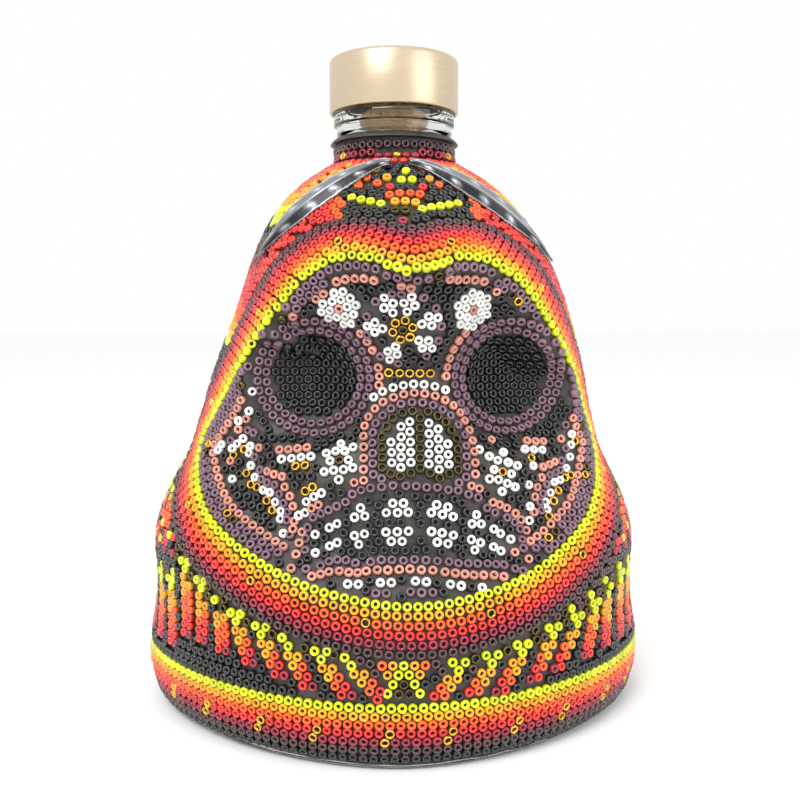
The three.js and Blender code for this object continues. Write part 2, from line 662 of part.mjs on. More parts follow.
function facePanels() {
  const shell = faceShell();
  const inside = cutter(openingOutline(FIRST_ROW + 3 * FACE_PITCH));
  const eye = (side) => cutter(eyeOutline(side, 2 * (FACE_PITCH + FACE_GAP)));
  const nose = cutter(archOutline(NOSE, -FACE_GAP, FACE_GAP));
  const mouth = cutter(archOutline(MOUTH, -FACE_GAP, MOUTH.low - JAW));
  const features = eye(-1).add(eye(1)).add(nose).add(mouth);
  const chin = cutter(boxOutline(FACE_GAP - 22, 30, 22 - FACE_GAP, JAW - FACE_GAP));
  const area = (outline) => largest(shell.intersect(cutter(outline)).intersect(inside).subtract(features));
  return {
    left_eye_socket: largest(shell.intersect(cutter(eyeOutline(-1, 0)))),
    right_eye_socket: largest(shell.intersect(cutter(eyeOutline(1, 0)))),
    nose_panel: shell.intersect(cutter(archOutline(NOSE, 2 * FACE_PITCH))),
    teeth_panel: shell.intersect(cutter(archOutline(MOUTH, 2 * FACE_PITCH))),
    chin_panel: largest(shell.intersect(chin).intersect(cutter(openingOutline(FIRST_ROW)))),
    forehead_panel: area(boxOutline(-50, 84 + FACE_GAP, 50, 125)),
    left_cheek_panel: area(boxOutline(-55, JAW, 0, 84)),
    right_cheek_panel: area(boxOutline(0, JAW, 55, 84)),
  };
}

// ---------- bottle, wax and stopper ----------
const ringAt = (z, radiusAt) => COLUMNS.map((angle) => {
  const r = radiusAt(angle);
  return new THREE.Vector3(r * Math.sin(angle) + lean(z), -r * Math.cos(angle), z);
});
const plainRing = (z, r) => ringAt(z, () => r);
const COARSE_ROWS = ROWS.filter((z, i) => i % 3 === 0 || z > upward(137));
const COARSE_REACH = (2 * (FACE_HIGH - FACE_LOW)) / (FACE_ROWS - 1) + 0.1;
const NECK_TOP = BEADS_TOP + BARE_NECK;
const throatRadius = COLLAR_RADIUS - 1.9; // the glass neck inside the wax

// The glass keeps clear of the deepest wax in the squares round each of its corners.
function glassOut(angle, z) {
  if (z > NECK_START - 1) return throatRadius;
  const near = [z, ...ROWS.filter((row) => Math.abs(row - z) < COARSE_REACH)];
  const turn = radians((2 * FRONT_SPREAD) / FRONT_COLUMNS);
  const beside = Math.cos(angle) > 0 ? [angle - turn, angle, angle + turn] : [angle];
  const deepest = Math.min(...near.flatMap((row) => beside.map((side) => waxRadius(side, row))));
  return Math.max(deepest - WAX_THICKNESS - GLASS_GAP, throatRadius);
}

function bottleGeometry() {
  const foot = (z, inset) => ringAt(z, (angle) => waxRadius(angle, HEEL_HEIGHT) + 1.2 - inset);
  const heelTop = HEEL_HEIGHT - GLASS_GAP;
  const outside = [foot(0, 1.5), foot(0.8, 0), foot(heelTop, 0)];
  outside.push(ringAt(heelTop, (angle) => glassOut(angle, HEEL_HEIGHT)));
  for (const z of COARSE_ROWS) outside.push(ringAt(z, (angle) => glassOut(angle, z)));
  const collarLow = BEADS_TOP + WAX_EDGE + GLASS_GAP;
  const lipLow = NECK_TOP - LIP_HEIGHT;
  outside.push(plainRing(collarLow, throatRadius), plainRing(collarLow + 0.6, COLLAR_RADIUS));
  outside.push(plainRing(lipLow - 0.6, COLLAR_RADIUS), plainRing(lipLow, LIP_RADIUS));
  outside.push(plainRing(NECK_TOP - 0.5, LIP_RADIUS), plainRing(NECK_TOP, LIP_RADIUS - 0.8));
  const inside = COARSE_ROWS.filter((z) => z > GLASS_BASE && z < NECK_START - 3).map((z) => {
    return ringAt(z, (angle) => Math.max(glassOut(angle, z) - GLASS_WALL, BORE_RADIUS));
  });
  const floor = ringAt(GLASS_BASE, (angle) => glassOut(angle, GLASS_BASE) - GLASS_WALL - 3);
  const bore = [plainRing(NECK_START, BORE_RADIUS), plainRing(NECK_TOP, BORE_RADIUS)];
  return loft([...outside, ...[floor, ...inside, ...bore].reverse()]);
}

function waxGeometry() {
  const outer = ROWS.map((z) => ringAt(z, (angle) => waxRadius(angle, z)));
  const inner = COARSE_ROWS.map((z) => ringAt(z, (angle) => glassOut(angle, z) + GLASS_GAP));
  const top = BEADS_TOP + WAX_EDGE;
  const shoulder = BEADS_TOP + BEAD_LIFT;
  outer.push(ringAt(shoulder - 0.1, (angle) => waxRadius(angle, BEADS_TOP)));
  outer.push(plainRing(shoulder, NECK_RADIUS - 0.4), plainRing(top, COLLAR_RADIUS + 0.3));
  return loft([...inner, plainRing(top, throatRadius + GLASS_GAP), ...outer.reverse()], true);
}

function turned(profile, segments = 32) {
  const points = profile.map(([r, z]) => new THREE.Vector2(r, z));
  return new THREE.LatheGeometry(points, segments).rotateX(Math.PI / 2);
}
const CAP_LOW = NECK_TOP + SEAT_GAP;
const CAP_HIGH = CAP_LOW + CAP_HEIGHT;

function capShell() {
  const [r, inner, roof] = [CAP_RADIUS, CAP_RADIUS - CAP_WALL, CAP_HIGH - CAP_TOP];
  return turned([[0, roof], [inner, roof], [inner, CAP_LOW], [r, CAP_LOW], [r, CAP_HIGH - 0.6],
    [r - 0.6, CAP_HIGH], [0, CAP_HIGH]]);
}

function capInsert() {
  const [r, high] = [CAP_RADIUS - CAP_WALL - SEAT_GAP, CAP_HIGH - CAP_TOP - SEAT_GAP];
  return turned([[0, high - INSERT_HEIGHT], [r, high - INSERT_HEIGHT], [r, high], [0, high]]);
}

function corkShank() {
  const high = CAP_HIGH - CAP_TOP - 2 * SEAT_GAP - INSERT_HEIGHT;
  const r = BORE_RADIUS - CORK_CLEARANCE;
  const low = NECK_TOP - CORK_LENGTH;
  return turned([[0, low], [r - 0.8, low], [r, low + 0.8], [r, high], [0, high]]);
}

// ---------- materials ----------
const paint = (color, roughness, metalness = 0) => {
  return new THREE.MeshStandardMaterial({ color, roughness, metalness });
};
const GLASS = paint(0x4a4440, 0.1);
const WAX = paint(0x2a2422, 0.6);
const METAL = paint(0x8c8c8c, 0.35, 1);
const CAP = paint(0xb89e76, 0.3, 1);
const PLASTIC = paint(0x2b2520, 0.5);
const CORK = paint(0xb58a5c, 0.9);
const BEADS = {
  yellow: paint(0xd7e100, 0.4),
  amber: paint(0xe1a000, 0.4),
  orange: paint(0xeb5a14, 0.4),
  red: paint(0xd72823, 0.4),
  maroon: paint(0x961e37, 0.4),
  brown: paint(0x503237, 0.4),
  mauve: paint(0x7d5f6e, 0.4),
  pink: paint(0xc88c7d, 0.4),
  white: paint(0xebebeb, 0.4),
  black: paint(0x191919, 0.35),
};

// ---------- the assembly ----------
const figure = new THREE.Group();
figure.name = "huichol_beaded_figure";

function add(name, geometry, material, parent = figure) {
  const mesh = new THREE.Mesh(geometry, material);
  mesh.name = name;
  parent.add(mesh);
}

function addBottle() {
  add("glass_bottle", bottleGeometry(), GLASS);
  add("wax_coat", waxGeometry(), WAX);
  add("left_hood_trim", trimStrip(-1), METAL);
  add("right_hood_trim", trimStrip(1), METAL);
}

function addStopper() {
  const stopper = new THREE.Group();
  stopper.name = "stopper";
  add("stopper_cap", capShell(), CAP, stopper);
  add("stopper_insert", capInsert(), PLASTIC, stopper);
  add("stopper_cork", corkShank(), CORK, stopper);
  figure.add(stopper);
}

function addCourses() {
  BASE_COLOURS.forEach((colour, i) => {
    add(`base_course_${colour}`, ringRow(baseRowHeight(i), BASE_STEPS), BEADS[colour]);
  });
  HOOD_COLOURS.forEach((colour, i) => {
    const strip = rowStrip(HOOD_ROUTES[i], true, HOOD_PITCH - ROW_GAP);
    add(`hood_course_${colour}`, strip, BEADS[colour]);
  });
  const neckRows = [BEADS_TOP - ROW_PITCH / 2, BEADS_TOP - 1.5 * ROW_PITCH, NECK_START - 1.35 * ROW_PITCH];
  ["brown", "maroon", "red"].forEach((colour, i) => {
    add(`neck_course_${colour}`, ringRow(neckRows[i], 24), BEADS[colour]);
  });
}

function addPanels() {
  add("crown_panel", crown(), BEADS.orange);
  add("robe_band", robeBand(), BEADS.black);
  add("left_sleeve", sleeve(-1), BEADS.red);
  add("right_sleeve", sleeve(1), BEADS.red);
  add("back_panel", backPanel(), BEADS.orange);
  add("mantle", mantle(), BEADS.red);
}

function courseColour(name) {
  if (name.startsWith("nose_outer")) return "white";
  return /pink|nose_inner|lip_outer/.test(name) ? "pink" : "mauve";
}

function addFace() {
  const core = faceCore();
  for (const [name, strip] of Object.entries(faceCourses())) {
    const row = fromManifold(largest(toManifold(strip).subtract(core)));
    add(name, row, BEADS[courseColour(name)]);
  }
  for (const [name, solid] of Object.entries(facePanels())) add(name, fromManifold(solid), BEADS.black);
}

addBottle();
addStopper();
addCourses();
addPanels();
addFace();

export default figure;
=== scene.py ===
import json
import math
import random

import bmesh
import bpy
import numpy as np
from mathutils import Matrix, Vector
from mathutils.bvhtree import BVHTree
from mathutils.kdtree import KDTree


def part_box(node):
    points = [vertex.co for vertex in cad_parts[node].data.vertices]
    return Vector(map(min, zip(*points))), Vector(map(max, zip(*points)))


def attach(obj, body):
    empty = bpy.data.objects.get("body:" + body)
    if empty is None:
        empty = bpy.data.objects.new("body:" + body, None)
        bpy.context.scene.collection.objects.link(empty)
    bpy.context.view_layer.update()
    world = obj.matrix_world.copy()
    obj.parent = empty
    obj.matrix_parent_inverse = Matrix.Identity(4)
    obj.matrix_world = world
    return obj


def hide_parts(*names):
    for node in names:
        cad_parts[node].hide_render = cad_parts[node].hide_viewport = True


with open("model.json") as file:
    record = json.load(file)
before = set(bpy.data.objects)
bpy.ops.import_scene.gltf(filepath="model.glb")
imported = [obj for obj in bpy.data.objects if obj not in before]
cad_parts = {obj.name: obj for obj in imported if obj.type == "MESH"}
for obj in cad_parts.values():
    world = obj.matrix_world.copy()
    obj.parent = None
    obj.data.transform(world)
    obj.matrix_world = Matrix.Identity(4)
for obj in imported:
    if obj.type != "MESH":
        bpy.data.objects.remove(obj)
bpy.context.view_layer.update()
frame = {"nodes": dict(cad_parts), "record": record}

MM = 0.001
UP = Vector((0, 0, 1))
INWARDS = Vector((0, 1, 0))
SEED = 7

# ---- sizes of the beads
BEAD_RADIUS = 1.17 * MM
BEAD_HALF_HEIGHT = 0.74 * MM
BEAD_HOLE = 0.44 * MM
METAL_HOLE = 0.66 * MM
BEAD_STEPS = 10
BEAD_LIFT = 0.55 * MM  # of a bead's middle above the wax
PITCH = 2.42 * MM  # from bead to bead along a row
ROW = 2.02 * MM  # from row to row, as the rows nest
NEAREST = 2.08 * MM  # no two beads' middles come closer
TILT = math.radians(5)
MOST_BEADS = 1500  # in one piece
SWELL = 2.6 * MM  # of the smoothed wax, low down
SWELL_FULL = 48 * MM
SWELL_TOP = 80 * MM

# How near a bead may come to the ones before it, as a share of NEAREST.
COURSE_ROOM = 0.6
MOTIF_ROOM = 0.8
FEATURE_ROOM = 0.84
LATE_ROOM = 0.93

# ---- places on the figure
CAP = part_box("stopper_cap")
FACE_MIDDLE = Vector((0, 0, 77 * MM))
BODY_MIDDLE = Vector((0, 0, 0))
OUTSIDE = 0.15  # metres from the neck's axis, clear of the figure
CHIN = 48 * MM  # the rows inside the opening end above it
BROW = 84 * MM  # the rows belong to the brow above it, to the cheeks below


# ---- colours
def linear(red, green, blue):
    """A colour as it is seen, 0 to 255, as the renderer's own linear numbers."""
    parts = [c / 255 for c in (red, green, blue)]
    return tuple(c / 12.92 if c <= 0.04045 else ((c + 0.055) / 1.055) ** 2.4 for c in parts) + (1.0,)


BEAD_COLOURS = {
    "yellow": linear(214, 224, 4),
    "amber": linear(228, 163, 4),
    "orange": linear(235, 92, 22),
    "red": linear(214, 40, 34),
    "maroon": linear(148, 28, 52),
    "brown": linear(74, 46, 48),
    "mauve": linear(118, 88, 103),
    "pink": linear(206, 140, 122),
    "white": linear(232, 232, 228),
    "black": linear(26, 27, 27),
    "gold": linear(222, 176, 66),
    "bronze": linear(92, 82, 46),
}
METALS = ("gold", "bronze")
PALETTE = list(BEAD_COLOURS)


# ---- materials
def put(node, entry, value):
    """Gives one of a shader node's inputs a fixed value."""
    node.inputs[entry].default_value = value


def new_material(name):
    """An empty node material: its tree, and the shader that feeds the output."""
    material = bpy.data.materials.new(name)
    material.use_nodes = True
    tree = material.node_tree
    return material, tree, tree.nodes["Principled BSDF"]


def noise(tree, scale, detail=2.0):
    """Noise on the object's own coordinates, scale in lumps to the metre."""
    place = tree.nodes.new("ShaderNodeTexCoord")
    lumps = tree.nodes.new("ShaderNodeTexNoise")
    put(lumps, "Scale", scale)
    put(lumps, "Detail", detail)
    tree.links.new(place.outputs["Object"], lumps.inputs["Vector"])
    return lumps.outputs["Fac"]


def paint(tree, shader, source, stops):
    """A base colour that follows source. stops are (place, colour)."""
    band = tree.nodes.new("ShaderNodeValToRGB")
    while len(band.color_ramp.elements) < len(stops):
        band.color_ramp.elements.new(0.5)
    for element, (place, colour) in zip(band.color_ramp.elements, stops):
        element.position = place
        element.color = colour
    tree.links.new(source, band.inputs["Fac"])
    tree.links.new(band.outputs["Color"], shader.inputs["Base Color"])


def roughen(tree, shader, source, low, high):
    """Roughness that follows source, 0 to 1, stretched to run from low to high."""
    stretch = tree.nodes.new("ShaderNodeMapRange")
    put(stretch, "To Min", low)
    put(stretch, "To Max", high)
    tree.links.new(source, stretch.inputs["Value"])
    tree.links.new(stretch.outputs["Result"], shader.inputs["Roughness"])


def bump(tree, shader, height, strength, distance):
    """Fine relief from height."""
    relief = tree.nodes.new("ShaderNodeBump")
    put(relief, "Strength", strength)
    put(relief, "Distance", distance)
    tree.links.new(height, relief.inputs["Height"])
    tree.links.new(relief.outputs["Normal"], shader.inputs["Normal"])


def shade(colour, factor):
    """colour made darker or lighter."""
    return tuple(min(1.0, c * factor) for c in colour[:3]) + (1.0,)


def bead_glass(name):
    """Glossy glass of one colour. Each bead has a tint of its own."""
    material, tree, shader = new_material(f"{name}_bead_glass")
    tint = tree.nodes.new("ShaderNodeAttribute")
    tint.attribute_name = "tint"
    colour = BEAD_COLOURS[name]
    stops = [(0.0, shade(colour, 0.78)), (0.6, colour), (1.0, shade(colour, 1.16))]
    paint(tree, shader, tint.outputs["Fac"], stops)
    roughen(tree, shader, noise(tree, 900), 0.2, 0.42)
    if name in METALS:
        put(shader, "Metallic", 0.9 if name == "gold" else 0.75)
    else:
        put(shader, "Coat Weight", 0.35)
        put(shader, "Coat Roughness", 0.12)
    return material


def wax_material():
    """Dark beeswax and resin: satin, smeared and finely pitted."""
    material, tree, shader = new_material("dark_beeswax")
    stops = [(0.3, linear(38, 34, 32)), (0.7, linear(64, 60, 56))]
    paint(tree, shader, noise(tree, 140, 5), stops)
    roughen(tree, shader, noise(tree, 600), 0.35, 0.6)
    bump(tree, shader, noise(tree, 500, 6), 0.5, 0.4 * MM)
    return material


def bottle_material():
    """Clear bottle glass with a faint smoke, and moulding ripples."""
    material, tree, shader = new_material("bottle_glass")
    put(shader, "Base Color", (0.80, 0.81, 0.77, 1))
    put(shader, "Transmission Weight", 1.0)
    put(shader, "IOR", 1.5)
    roughen(tree, shader, noise(tree, 60), 0.02, 0.09)
    bump(tree, shader, noise(tree, 90, 1), 0.25, 0.5 * MM)
    return material


def cap_material():
    """Champagne anodised metal, drawn so that fine lines run round it."""
    material, tree, shader = new_material("champagne_anodised_metal")
    place = tree.nodes.new("ShaderNodeTexCoord")
    squeeze = tree.nodes.new("ShaderNodeMapping")
    put(squeeze, "Scale", (1, 1, 60))
    lines = tree.nodes.new("ShaderNodeTexNoise")
    put(lines, "Scale", 120)
    put(lines, "Detail", 4)
    tree.links.new(place.outputs["Object"], squeeze.inputs["Vector"])
    tree.links.new(squeeze.outputs["Vector"], lines.inputs["Vector"])
    stops = [(0.2, linear(186, 168, 140)), (0.8, linear(206, 190, 164))]
    paint(tree, shader, lines.outputs["Fac"], stops)
    roughen(tree, shader, lines.outputs["Fac"], 0.26, 0.4)
    put(shader, "Metallic", 0.6)
    bump(tree, shader, lines.outputs["Fac"], 0.06, 0.05 * MM)
    return material


def cork_material():
    """Natural cork: warm, matt, with darker pores."""
    material, tree, shader = new_material("natural_cork")
    stops = [(0.30, linear(112, 76, 46)), (0.42, linear(188, 146, 100)), (0.8, linear(208, 170, 124))]
    grain = noise(tree, 700, 6)
    paint(tree, shader, grain, stops)
    roughen(tree, shader, grain, 0.75, 0.95)
    bump(tree, shader, grain, 0.6, 0.3 * MM)
    return material


def plastic_material():
    """Matt dark plastic of the stopper's insert."""
    material, tree, shader = new_material("dark_insert_plastic")
    stops = [(0.3, linear(40, 37, 34)), (0.7, linear(52, 48, 45))]
    paint(tree, shader, noise(tree, 300), stops)
    roughen(tree, shader, noise(tree, 900), 0.5, 0.65)
    return material


def tin_material():
    """Thin embossed white metal, with painted highlights on the raised embossing, darker in the hollows, and
    painted shade on the lower half of the fold.
    """
    material, tree, shader = new_material("embossed_white_metal")
    # The relief attribute holds painted light: painted highlights where the embossing is raised and on the
    # upper half, painted shade on the lower half.
    painted_light = tree.nodes.new("ShaderNodeAttribute")
    painted_light.attribute_name = "relief"
    stops = [(0.0, linear(52, 52, 54)), (0.4, linear(150, 152, 156)), (1.0, linear(226, 228, 232))]
    paint(tree, shader, painted_light.outputs["Fac"], stops)
    roughen(tree, shader, noise(tree, 800, 4), 0.22, 0.45)
    put(shader, "Metallic", 0.92)
    bump(tree, shader, noise(tree, 1400, 4), 0.25, 0.1 * MM)
    return material


def floor_material():
    """Plain pale paper."""
    material, tree, shader = new_material("pale_paper")
    stops = [(0.4, (0.955, 0.955, 0.95, 1)), (0.6, (0.965, 0.965, 0.96, 1))]
    paint(tree, shader, noise(tree, 30), stops)
    put(shader, "Roughness", 0.8)
    return material


# ---- meshes
def merged(node):
    """A copy of a CAD node's mesh with its loose triangles joined up."""
    bm = bmesh.new()
    bm.from_mesh(frame["nodes"][node].data)
    bmesh.ops.remove_doubles(bm, verts=bm.verts, dist=2e-6)
    return bm


def mesh_from(name, bm):
    """A mesh made from bm, which is used up."""
    mesh = bpy.data.meshes.new(name)
    bm.to_mesh(mesh)
    bm.free()
    return mesh


def placed(name, data):
    """A new object in the scene that shows data."""
    thing = bpy.data.objects.new(name, data)
    bpy.context.scene.collection.objects.link(thing)
    return thing


def spin_round(bm, geometry, steps):
    """Turns geometry once round the upright axis, into a closed shape."""
    bmesh.ops.spin(
        bm, geom=geometry, cent=(0, 0, 0), axis=UP, angle=2 * math.pi,
        steps=steps, use_merge=True, use_duplicate=False,
    )


def add_piece(name, bm, materials, body, nodes):
    """Makes the mesh a piece that rides on a body and stands for CAD nodes."""
    mesh = mesh_from(name, bm)
    for material in materials:
        mesh.materials.append(material)
    mesh.polygons.foreach_set("use_smooth", [True] * len(mesh.polygons))
    piece = placed(name, mesh)
    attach(piece, body)
    if nodes:
        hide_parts(*nodes)
    return piece


def rounded(node, levels, crease_angle, crease=1.0):
    """A CAD node's shape with its facets smoothed and its real edges kept."""
    bm = merged(node)
    bmesh.ops.join_triangles(
        bm, faces=bm.faces, angle_face_threshold=math.radians(25), angle_shape_threshold=math.radians(60)
    )
    layer = bm.edges.layers.float.new("crease_edge")
    for edge in bm.edges:
        if len(edge.link_faces) == 2 and edge.calc_face_angle(0) > crease_angle:
            edge[layer] = crease
    mesh = mesh_from("rounding", bm)
    shape = placed("rounding", mesh)
    smooth = shape.modifiers.new("smooth", "SUBSURF")
    smooth.levels = levels
    smooth.render_levels = levels
    graph = bpy.context.evaluated_depsgraph_get()
    graph.update()
    done = shape.evaluated_get(graph).to_mesh()
    result = bmesh.new()
    result.from_mesh(done)
    bpy.data.objects.remove(shape)
    bpy.data.meshes.remove(mesh)
    return result


def swollen(bm):
    """The wax pushed outwards low down, where the smoothing has drawn it in."""
    bm.normal_update()
    moves = []
    for vert in bm.verts:
        out = Vector((vert.co.x, vert.co.y, 0)).normalized()
        share = min(1.0, max(0.0, (SWELL_TOP - vert.co.z) / (SWELL_TOP - SWELL_FULL)))
        side = 0.5 + 0.5 * abs(out.x)
        moves.append(out * (SWELL * share * side * max(0.0, vert.normal.dot(out))))
    for vert, move in zip(bm.verts, moves):
        vert.co += move
    bm.normal_update()
    return bm


WAX_MESH = swollen(rounded("wax_coat", 2, math.radians(60)))
SKIN = BVHTree.FromBMesh(WAX_MESH)


def seat(point):
    """The nearest place on the wax, and the way out of it there."""
    place, normal, _, _ = SKIN.find_nearest(point)
    return place, normal


def struck(start, way):
    """The place on the wax that a ray meets, and the way out of it there."""
    place, normal, _, _ = SKIN.ray_cast(start, way)
    return (place, normal) if place else None


def front_place(x, z):
    """The place on the wax straight behind x, z as the face is seen."""
    return struck(Vector((x, -OUTSIDE, z)), INWARDS)


def side_place(angle, z):
    """The place on the wax at that angle round the body, from the front towards +X."""
    out = Vector((math.sin(angle), -math.cos(angle), 0))
    return struck(out * OUTSIDE + UP * z, -out)


# ---- routes of the rows
def unit_axes(axis):
    """Two directions square to axis, the first level where it can be."""
    side = axis.cross(UP).normalized() if abs(axis.z) < 0.9 else Vector((1, 0, 0))
    return side, axis.cross(side).normalized()


def edge_ends(node):
    """Both ends of every edge of a CAD node."""
    bm = merged(node)
    ends = np.array([[v.co for v in edge.verts] for edge in bm.edges])
    bm.free()
    return ends


def crossings(ends, distance):
    """Where edges pass through a plane, from their ends' distances to it."""
    crosses = distance[:, 0] * distance[:, 1] < 0
    cut = ends[crosses]
    share = distance[crosses, 0] / (distance[crosses, 0] - distance[crosses, 1])
    return cut[:, 0] + share[:, None] * (cut[:, 1] - cut[:, 0])


def centreline(node, middle, axis, count=144):
    """The middle of a strip, found where half-planes round an axis cut it.

    Returns its points in order, and whether they close into a ring.
    """
    ends = edge_ends(node) - np.array(middle)
    side, other = unit_axes(axis)
    points = []
    for index in range(count):
        angle = 2 * math.pi * index / count
        out = np.array(side * math.cos(angle) + other * math.sin(angle))
        across = np.cross(np.array(axis), out)
        hits = crossings(ends, ends @ across)
        hits = hits[hits @ out > 0]
        found = len(hits) > 2
        points.append((hits.min(0) + hits.max(0)) / 2 + np.array(middle) if found else None)
    if all(p is not None for p in points):
        return smoothed(points, True), True
    start = next(i for i in range(count) if points[i] is None and points[(i + 1) % count] is not None)
    turned = points[start + 1:] + points[:start + 1]
    run = []
    best = []
    for point in turned + [None]:
        if point is None:
            best = max(best, run, key=len)
            run = []
        else:
            run.append(point)
    return smoothed(best, False), False


def smoothed(points, closed, passes=2):
    """The points with small wobbles taken out."""
    route = np.array(points)
    for _ in range(passes):
        before = np.roll(route, 1, 0)
        after = np.roll(route, -1, 0)
        if not closed:
            before[0] = route[0]
            after[0] = route[0]
            before[-1] = route[-1]
            after[-1] = route[-1]
        route = (before + 2 * route + after) / 4
    return route


def evenly(route, closed, pitch, shift=0.0):
    """Places at equal steps along a route, close to pitch apart."""
    line = np.vstack([route, route[:1]]) if closed else route
    lengths = np.concatenate([[0], np.cumsum(np.linalg.norm(np.diff(line, axis=0), axis=1))])
    total = lengths[-1]
    if closed:
        count = max(3, round(total / pitch))
        wanted = (np.arange(count) + shift) * total / count
    else:
        count = max(1, int(total / pitch))
        wanted = (total - (count - 1) * pitch) / 2 + np.arange(count) * pitch
    return [Vector([np.interp(at, lengths, line[:, k]) for k in range(3)]) for at in wanted]


# ---- beads
def bead_shape(hole):
    """One bead standing on its end: a fat ring, a few dozen faces."""
    bm = bmesh.new()
    middle = (BEAD_RADIUS + hole) / 2
    half = (BEAD_RADIUS - hole) / 2
    profile = []
    for step in range(6):
        angle = math.pi / 3 * step
        flat = 1.08 if step % 3 else 1.0
        height = BEAD_HALF_HEIGHT * math.sin(angle) * flat
        profile.append(bm.verts.new((middle + half * math.cos(angle) * flat, 0, height)))
    edges = [bm.edges.new((profile[k], profile[(k + 1) % 6])) for k in range(6)]
    spin_round(bm, profile + edges, BEAD_STEPS)
    bmesh.ops.recalc_face_normals(bm, faces=bm.faces)
    return bm


def bead_pattern(colour):
    """A bead's mesh with its colour's place in the palette."""
    bm = bead_shape(METAL_HOLE if colour in METALS else BEAD_HOLE)
    for face in bm.faces:
        face.material_index = PALETTE.index(colour)
        face.smooth = True
    mesh = mesh_from(f"{colour}_bead", bm)
    mesh.attributes.new("tint", "FLOAT", "POINT")
    return mesh, np.array([v.co for v in mesh.vertices])


PATTERNS = {colour: bead_pattern(colour) for colour in PALETTE}
GLASSES = [bead_glass(colour) for colour in PALETTE]
dice = random.Random(SEED)
taken = []


def bead_matrix(place, normal):
    """Where a bead goes: its hole faces out of the wax, a little askew."""
    lean = Vector((dice.gauss(0, 1), dice.gauss(0, 1), dice.gauss(0, 1))) * math.tan(TILT) * 0.6
    stand = (normal + lean).normalized().to_track_quat("Z", "Y").to_matrix().to_4x4()
    size = 1 + dice.uniform(-0.035, 0.035)
    lift = BEAD_LIFT + dice.uniform(-0.08, 0.08) * MM
    return Matrix.Translation(place + normal * lift) @ stand @ Matrix.Scale(size, 4)


def set_beads(name, spots, nodes, slot):
    """Sets a bead at every spot, (place, normal, colour), as one piece."""
    bm = bmesh.new()
    for place, normal, colour in spots:
        mesh, coords = PATTERNS[colour]
        matrix = np.array(bead_matrix(place, normal))
        moved = coords @ matrix[:3, :3].T + matrix[:3, 3]
        mesh.vertices.foreach_set("co", moved.ravel())
        mesh.attributes["tint"].data.foreach_set("value", [dice.random()] * len(coords))
        bm.from_mesh(mesh)
    used = sorted({PALETTE.index(colour) for _, _, colour in spots})
    for face in bm.faces:
        face.material_index = used.index(face.material_index)
    return add_piece(name, bm, [GLASSES[k] for k in used], "figure", nodes)


def slot_of(node):
    """The record's material slot of a CAD node."""
    return next(s["material_slot"] for s in frame["record"]["subparts"] if s["node"] == node)


# ---- keeping beads apart
CELL = 2.5 * MM
crowd = {}


def cell_of(place):
    """The cube of space a place is in."""
    return tuple(math.floor(c / CELL) for c in place)


def note(place):
    """Remembers a bead, so that later ones keep clear of it."""
    crowd.setdefault(cell_of(place), []).append(Vector(place))
    taken.append(tuple(place))


def is_clear(place, reach=NEAREST):
    """Whether no bead is within reach of place."""
    i, j, k = cell_of(place)
    for a in (i - 1, i, i + 1):
        for b in (j - 1, j, j + 1):
            for c in (k - 1, k, k + 1):
                if any((other - place).length < reach for other in crowd.get((a, b, c), ())):
                    return False
    return True


def lay(node, beads, reach=FEATURE_ROOM * NEAREST):
    """Sets the beads that have room, as the piece for a CAD node."""
    spots = []
    for spot in beads:
        if is_clear(spot[0], reach):
            spots.append(spot)
            note(spot[0])
    set_beads(f"{node}_beads", spots, [node], slot_of(node))


# ---- rows of beads
def course(node, middle, axis, colour_at, shift=0.0):
    """One row of beads along a CAD strip. colour_at(index, count) gives each colour."""
    route, closed = centreline(node, middle, axis)
    places = evenly(route, closed, PITCH, shift)
    beads = [seat(place) + (colour_at(index, len(places)),) for index, place in enumerate(places)]
    lay(node, beads, COURSE_ROOM * NEAREST)


def plain(colour):
    """Every bead the same."""
    return lambda index, count: colour


def marked(colour, mark, every, shift=0):
    """A row of one colour with a marked bead at even steps."""
    def pick(index, count):
        steps = max(1, round(count / every))
        marks = {round((k + 0.5) * count / steps + shift) % count for k in range(steps)}
        return mark if index in marks else colour
    return pick


def make_courses():
    """The rows round the foot, the face opening and the neck."""
    for colour, shift in (("black", 0), ("brown", 0.5), ("orange", 0.5), ("amber", 0), ("yellow", 0.5)):
        course(f"base_course_{colour}", BODY_MIDDLE, UP, plain(colour), shift)
    course("base_course_maroon", BODY_MIDDLE, UP, marked("maroon", "gold", 6.5), 0)
    course("base_course_red", BODY_MIDDLE, UP, marked("red", "gold", 6.5), 0.5)
    for index, colour in enumerate(("yellow", "amber", "orange", "red", "maroon", "brown")):
        pattern = marked(colour, "gold", 12) if colour == "orange" else plain(colour)
        course(f"hood_course_{colour}", FACE_MIDDLE, INWARDS, pattern, 0.5 * (index % 2))
    course("neck_course_brown", BODY_MIDDLE, UP, plain("brown"))
    course("neck_course_maroon", BODY_MIDDLE, UP, marked("maroon", "gold", 7), 0.5)
    course("neck_course_red", BODY_MIDDLE, UP, plain("red"))


def stepped(route, distance):
    """A closed route moved sideways along the wax."""
    before = np.roll(route, 1, 0)
    after = np.roll(route, -1, 0)
    moved = []
    for point, last, ahead in zip(route, before, after):
        place, normal = seat(Vector(point))
        aside = normal.cross(Vector(ahead - last).normalized())
        moved.append(tuple(seat(place + aside * distance)[0]))
    return smoothed(moved, True, 1)


# ---- places on the face
def on_face(points, colour):
    """Beads of one colour at (x, z) in millimetres as the face is seen."""
    places = [front_place(x * MM, z * MM) for x, z in points]
    return [place + (colour,) for place in places if place]


def line(start, end, count):
    """count points in a line from start to end."""
    share = [k / max(1, count - 1) for k in range(count)]
    return [(start[0] + (end[0] - start[0]) * t, start[1] + (end[1] - start[1]) * t) for t in share]


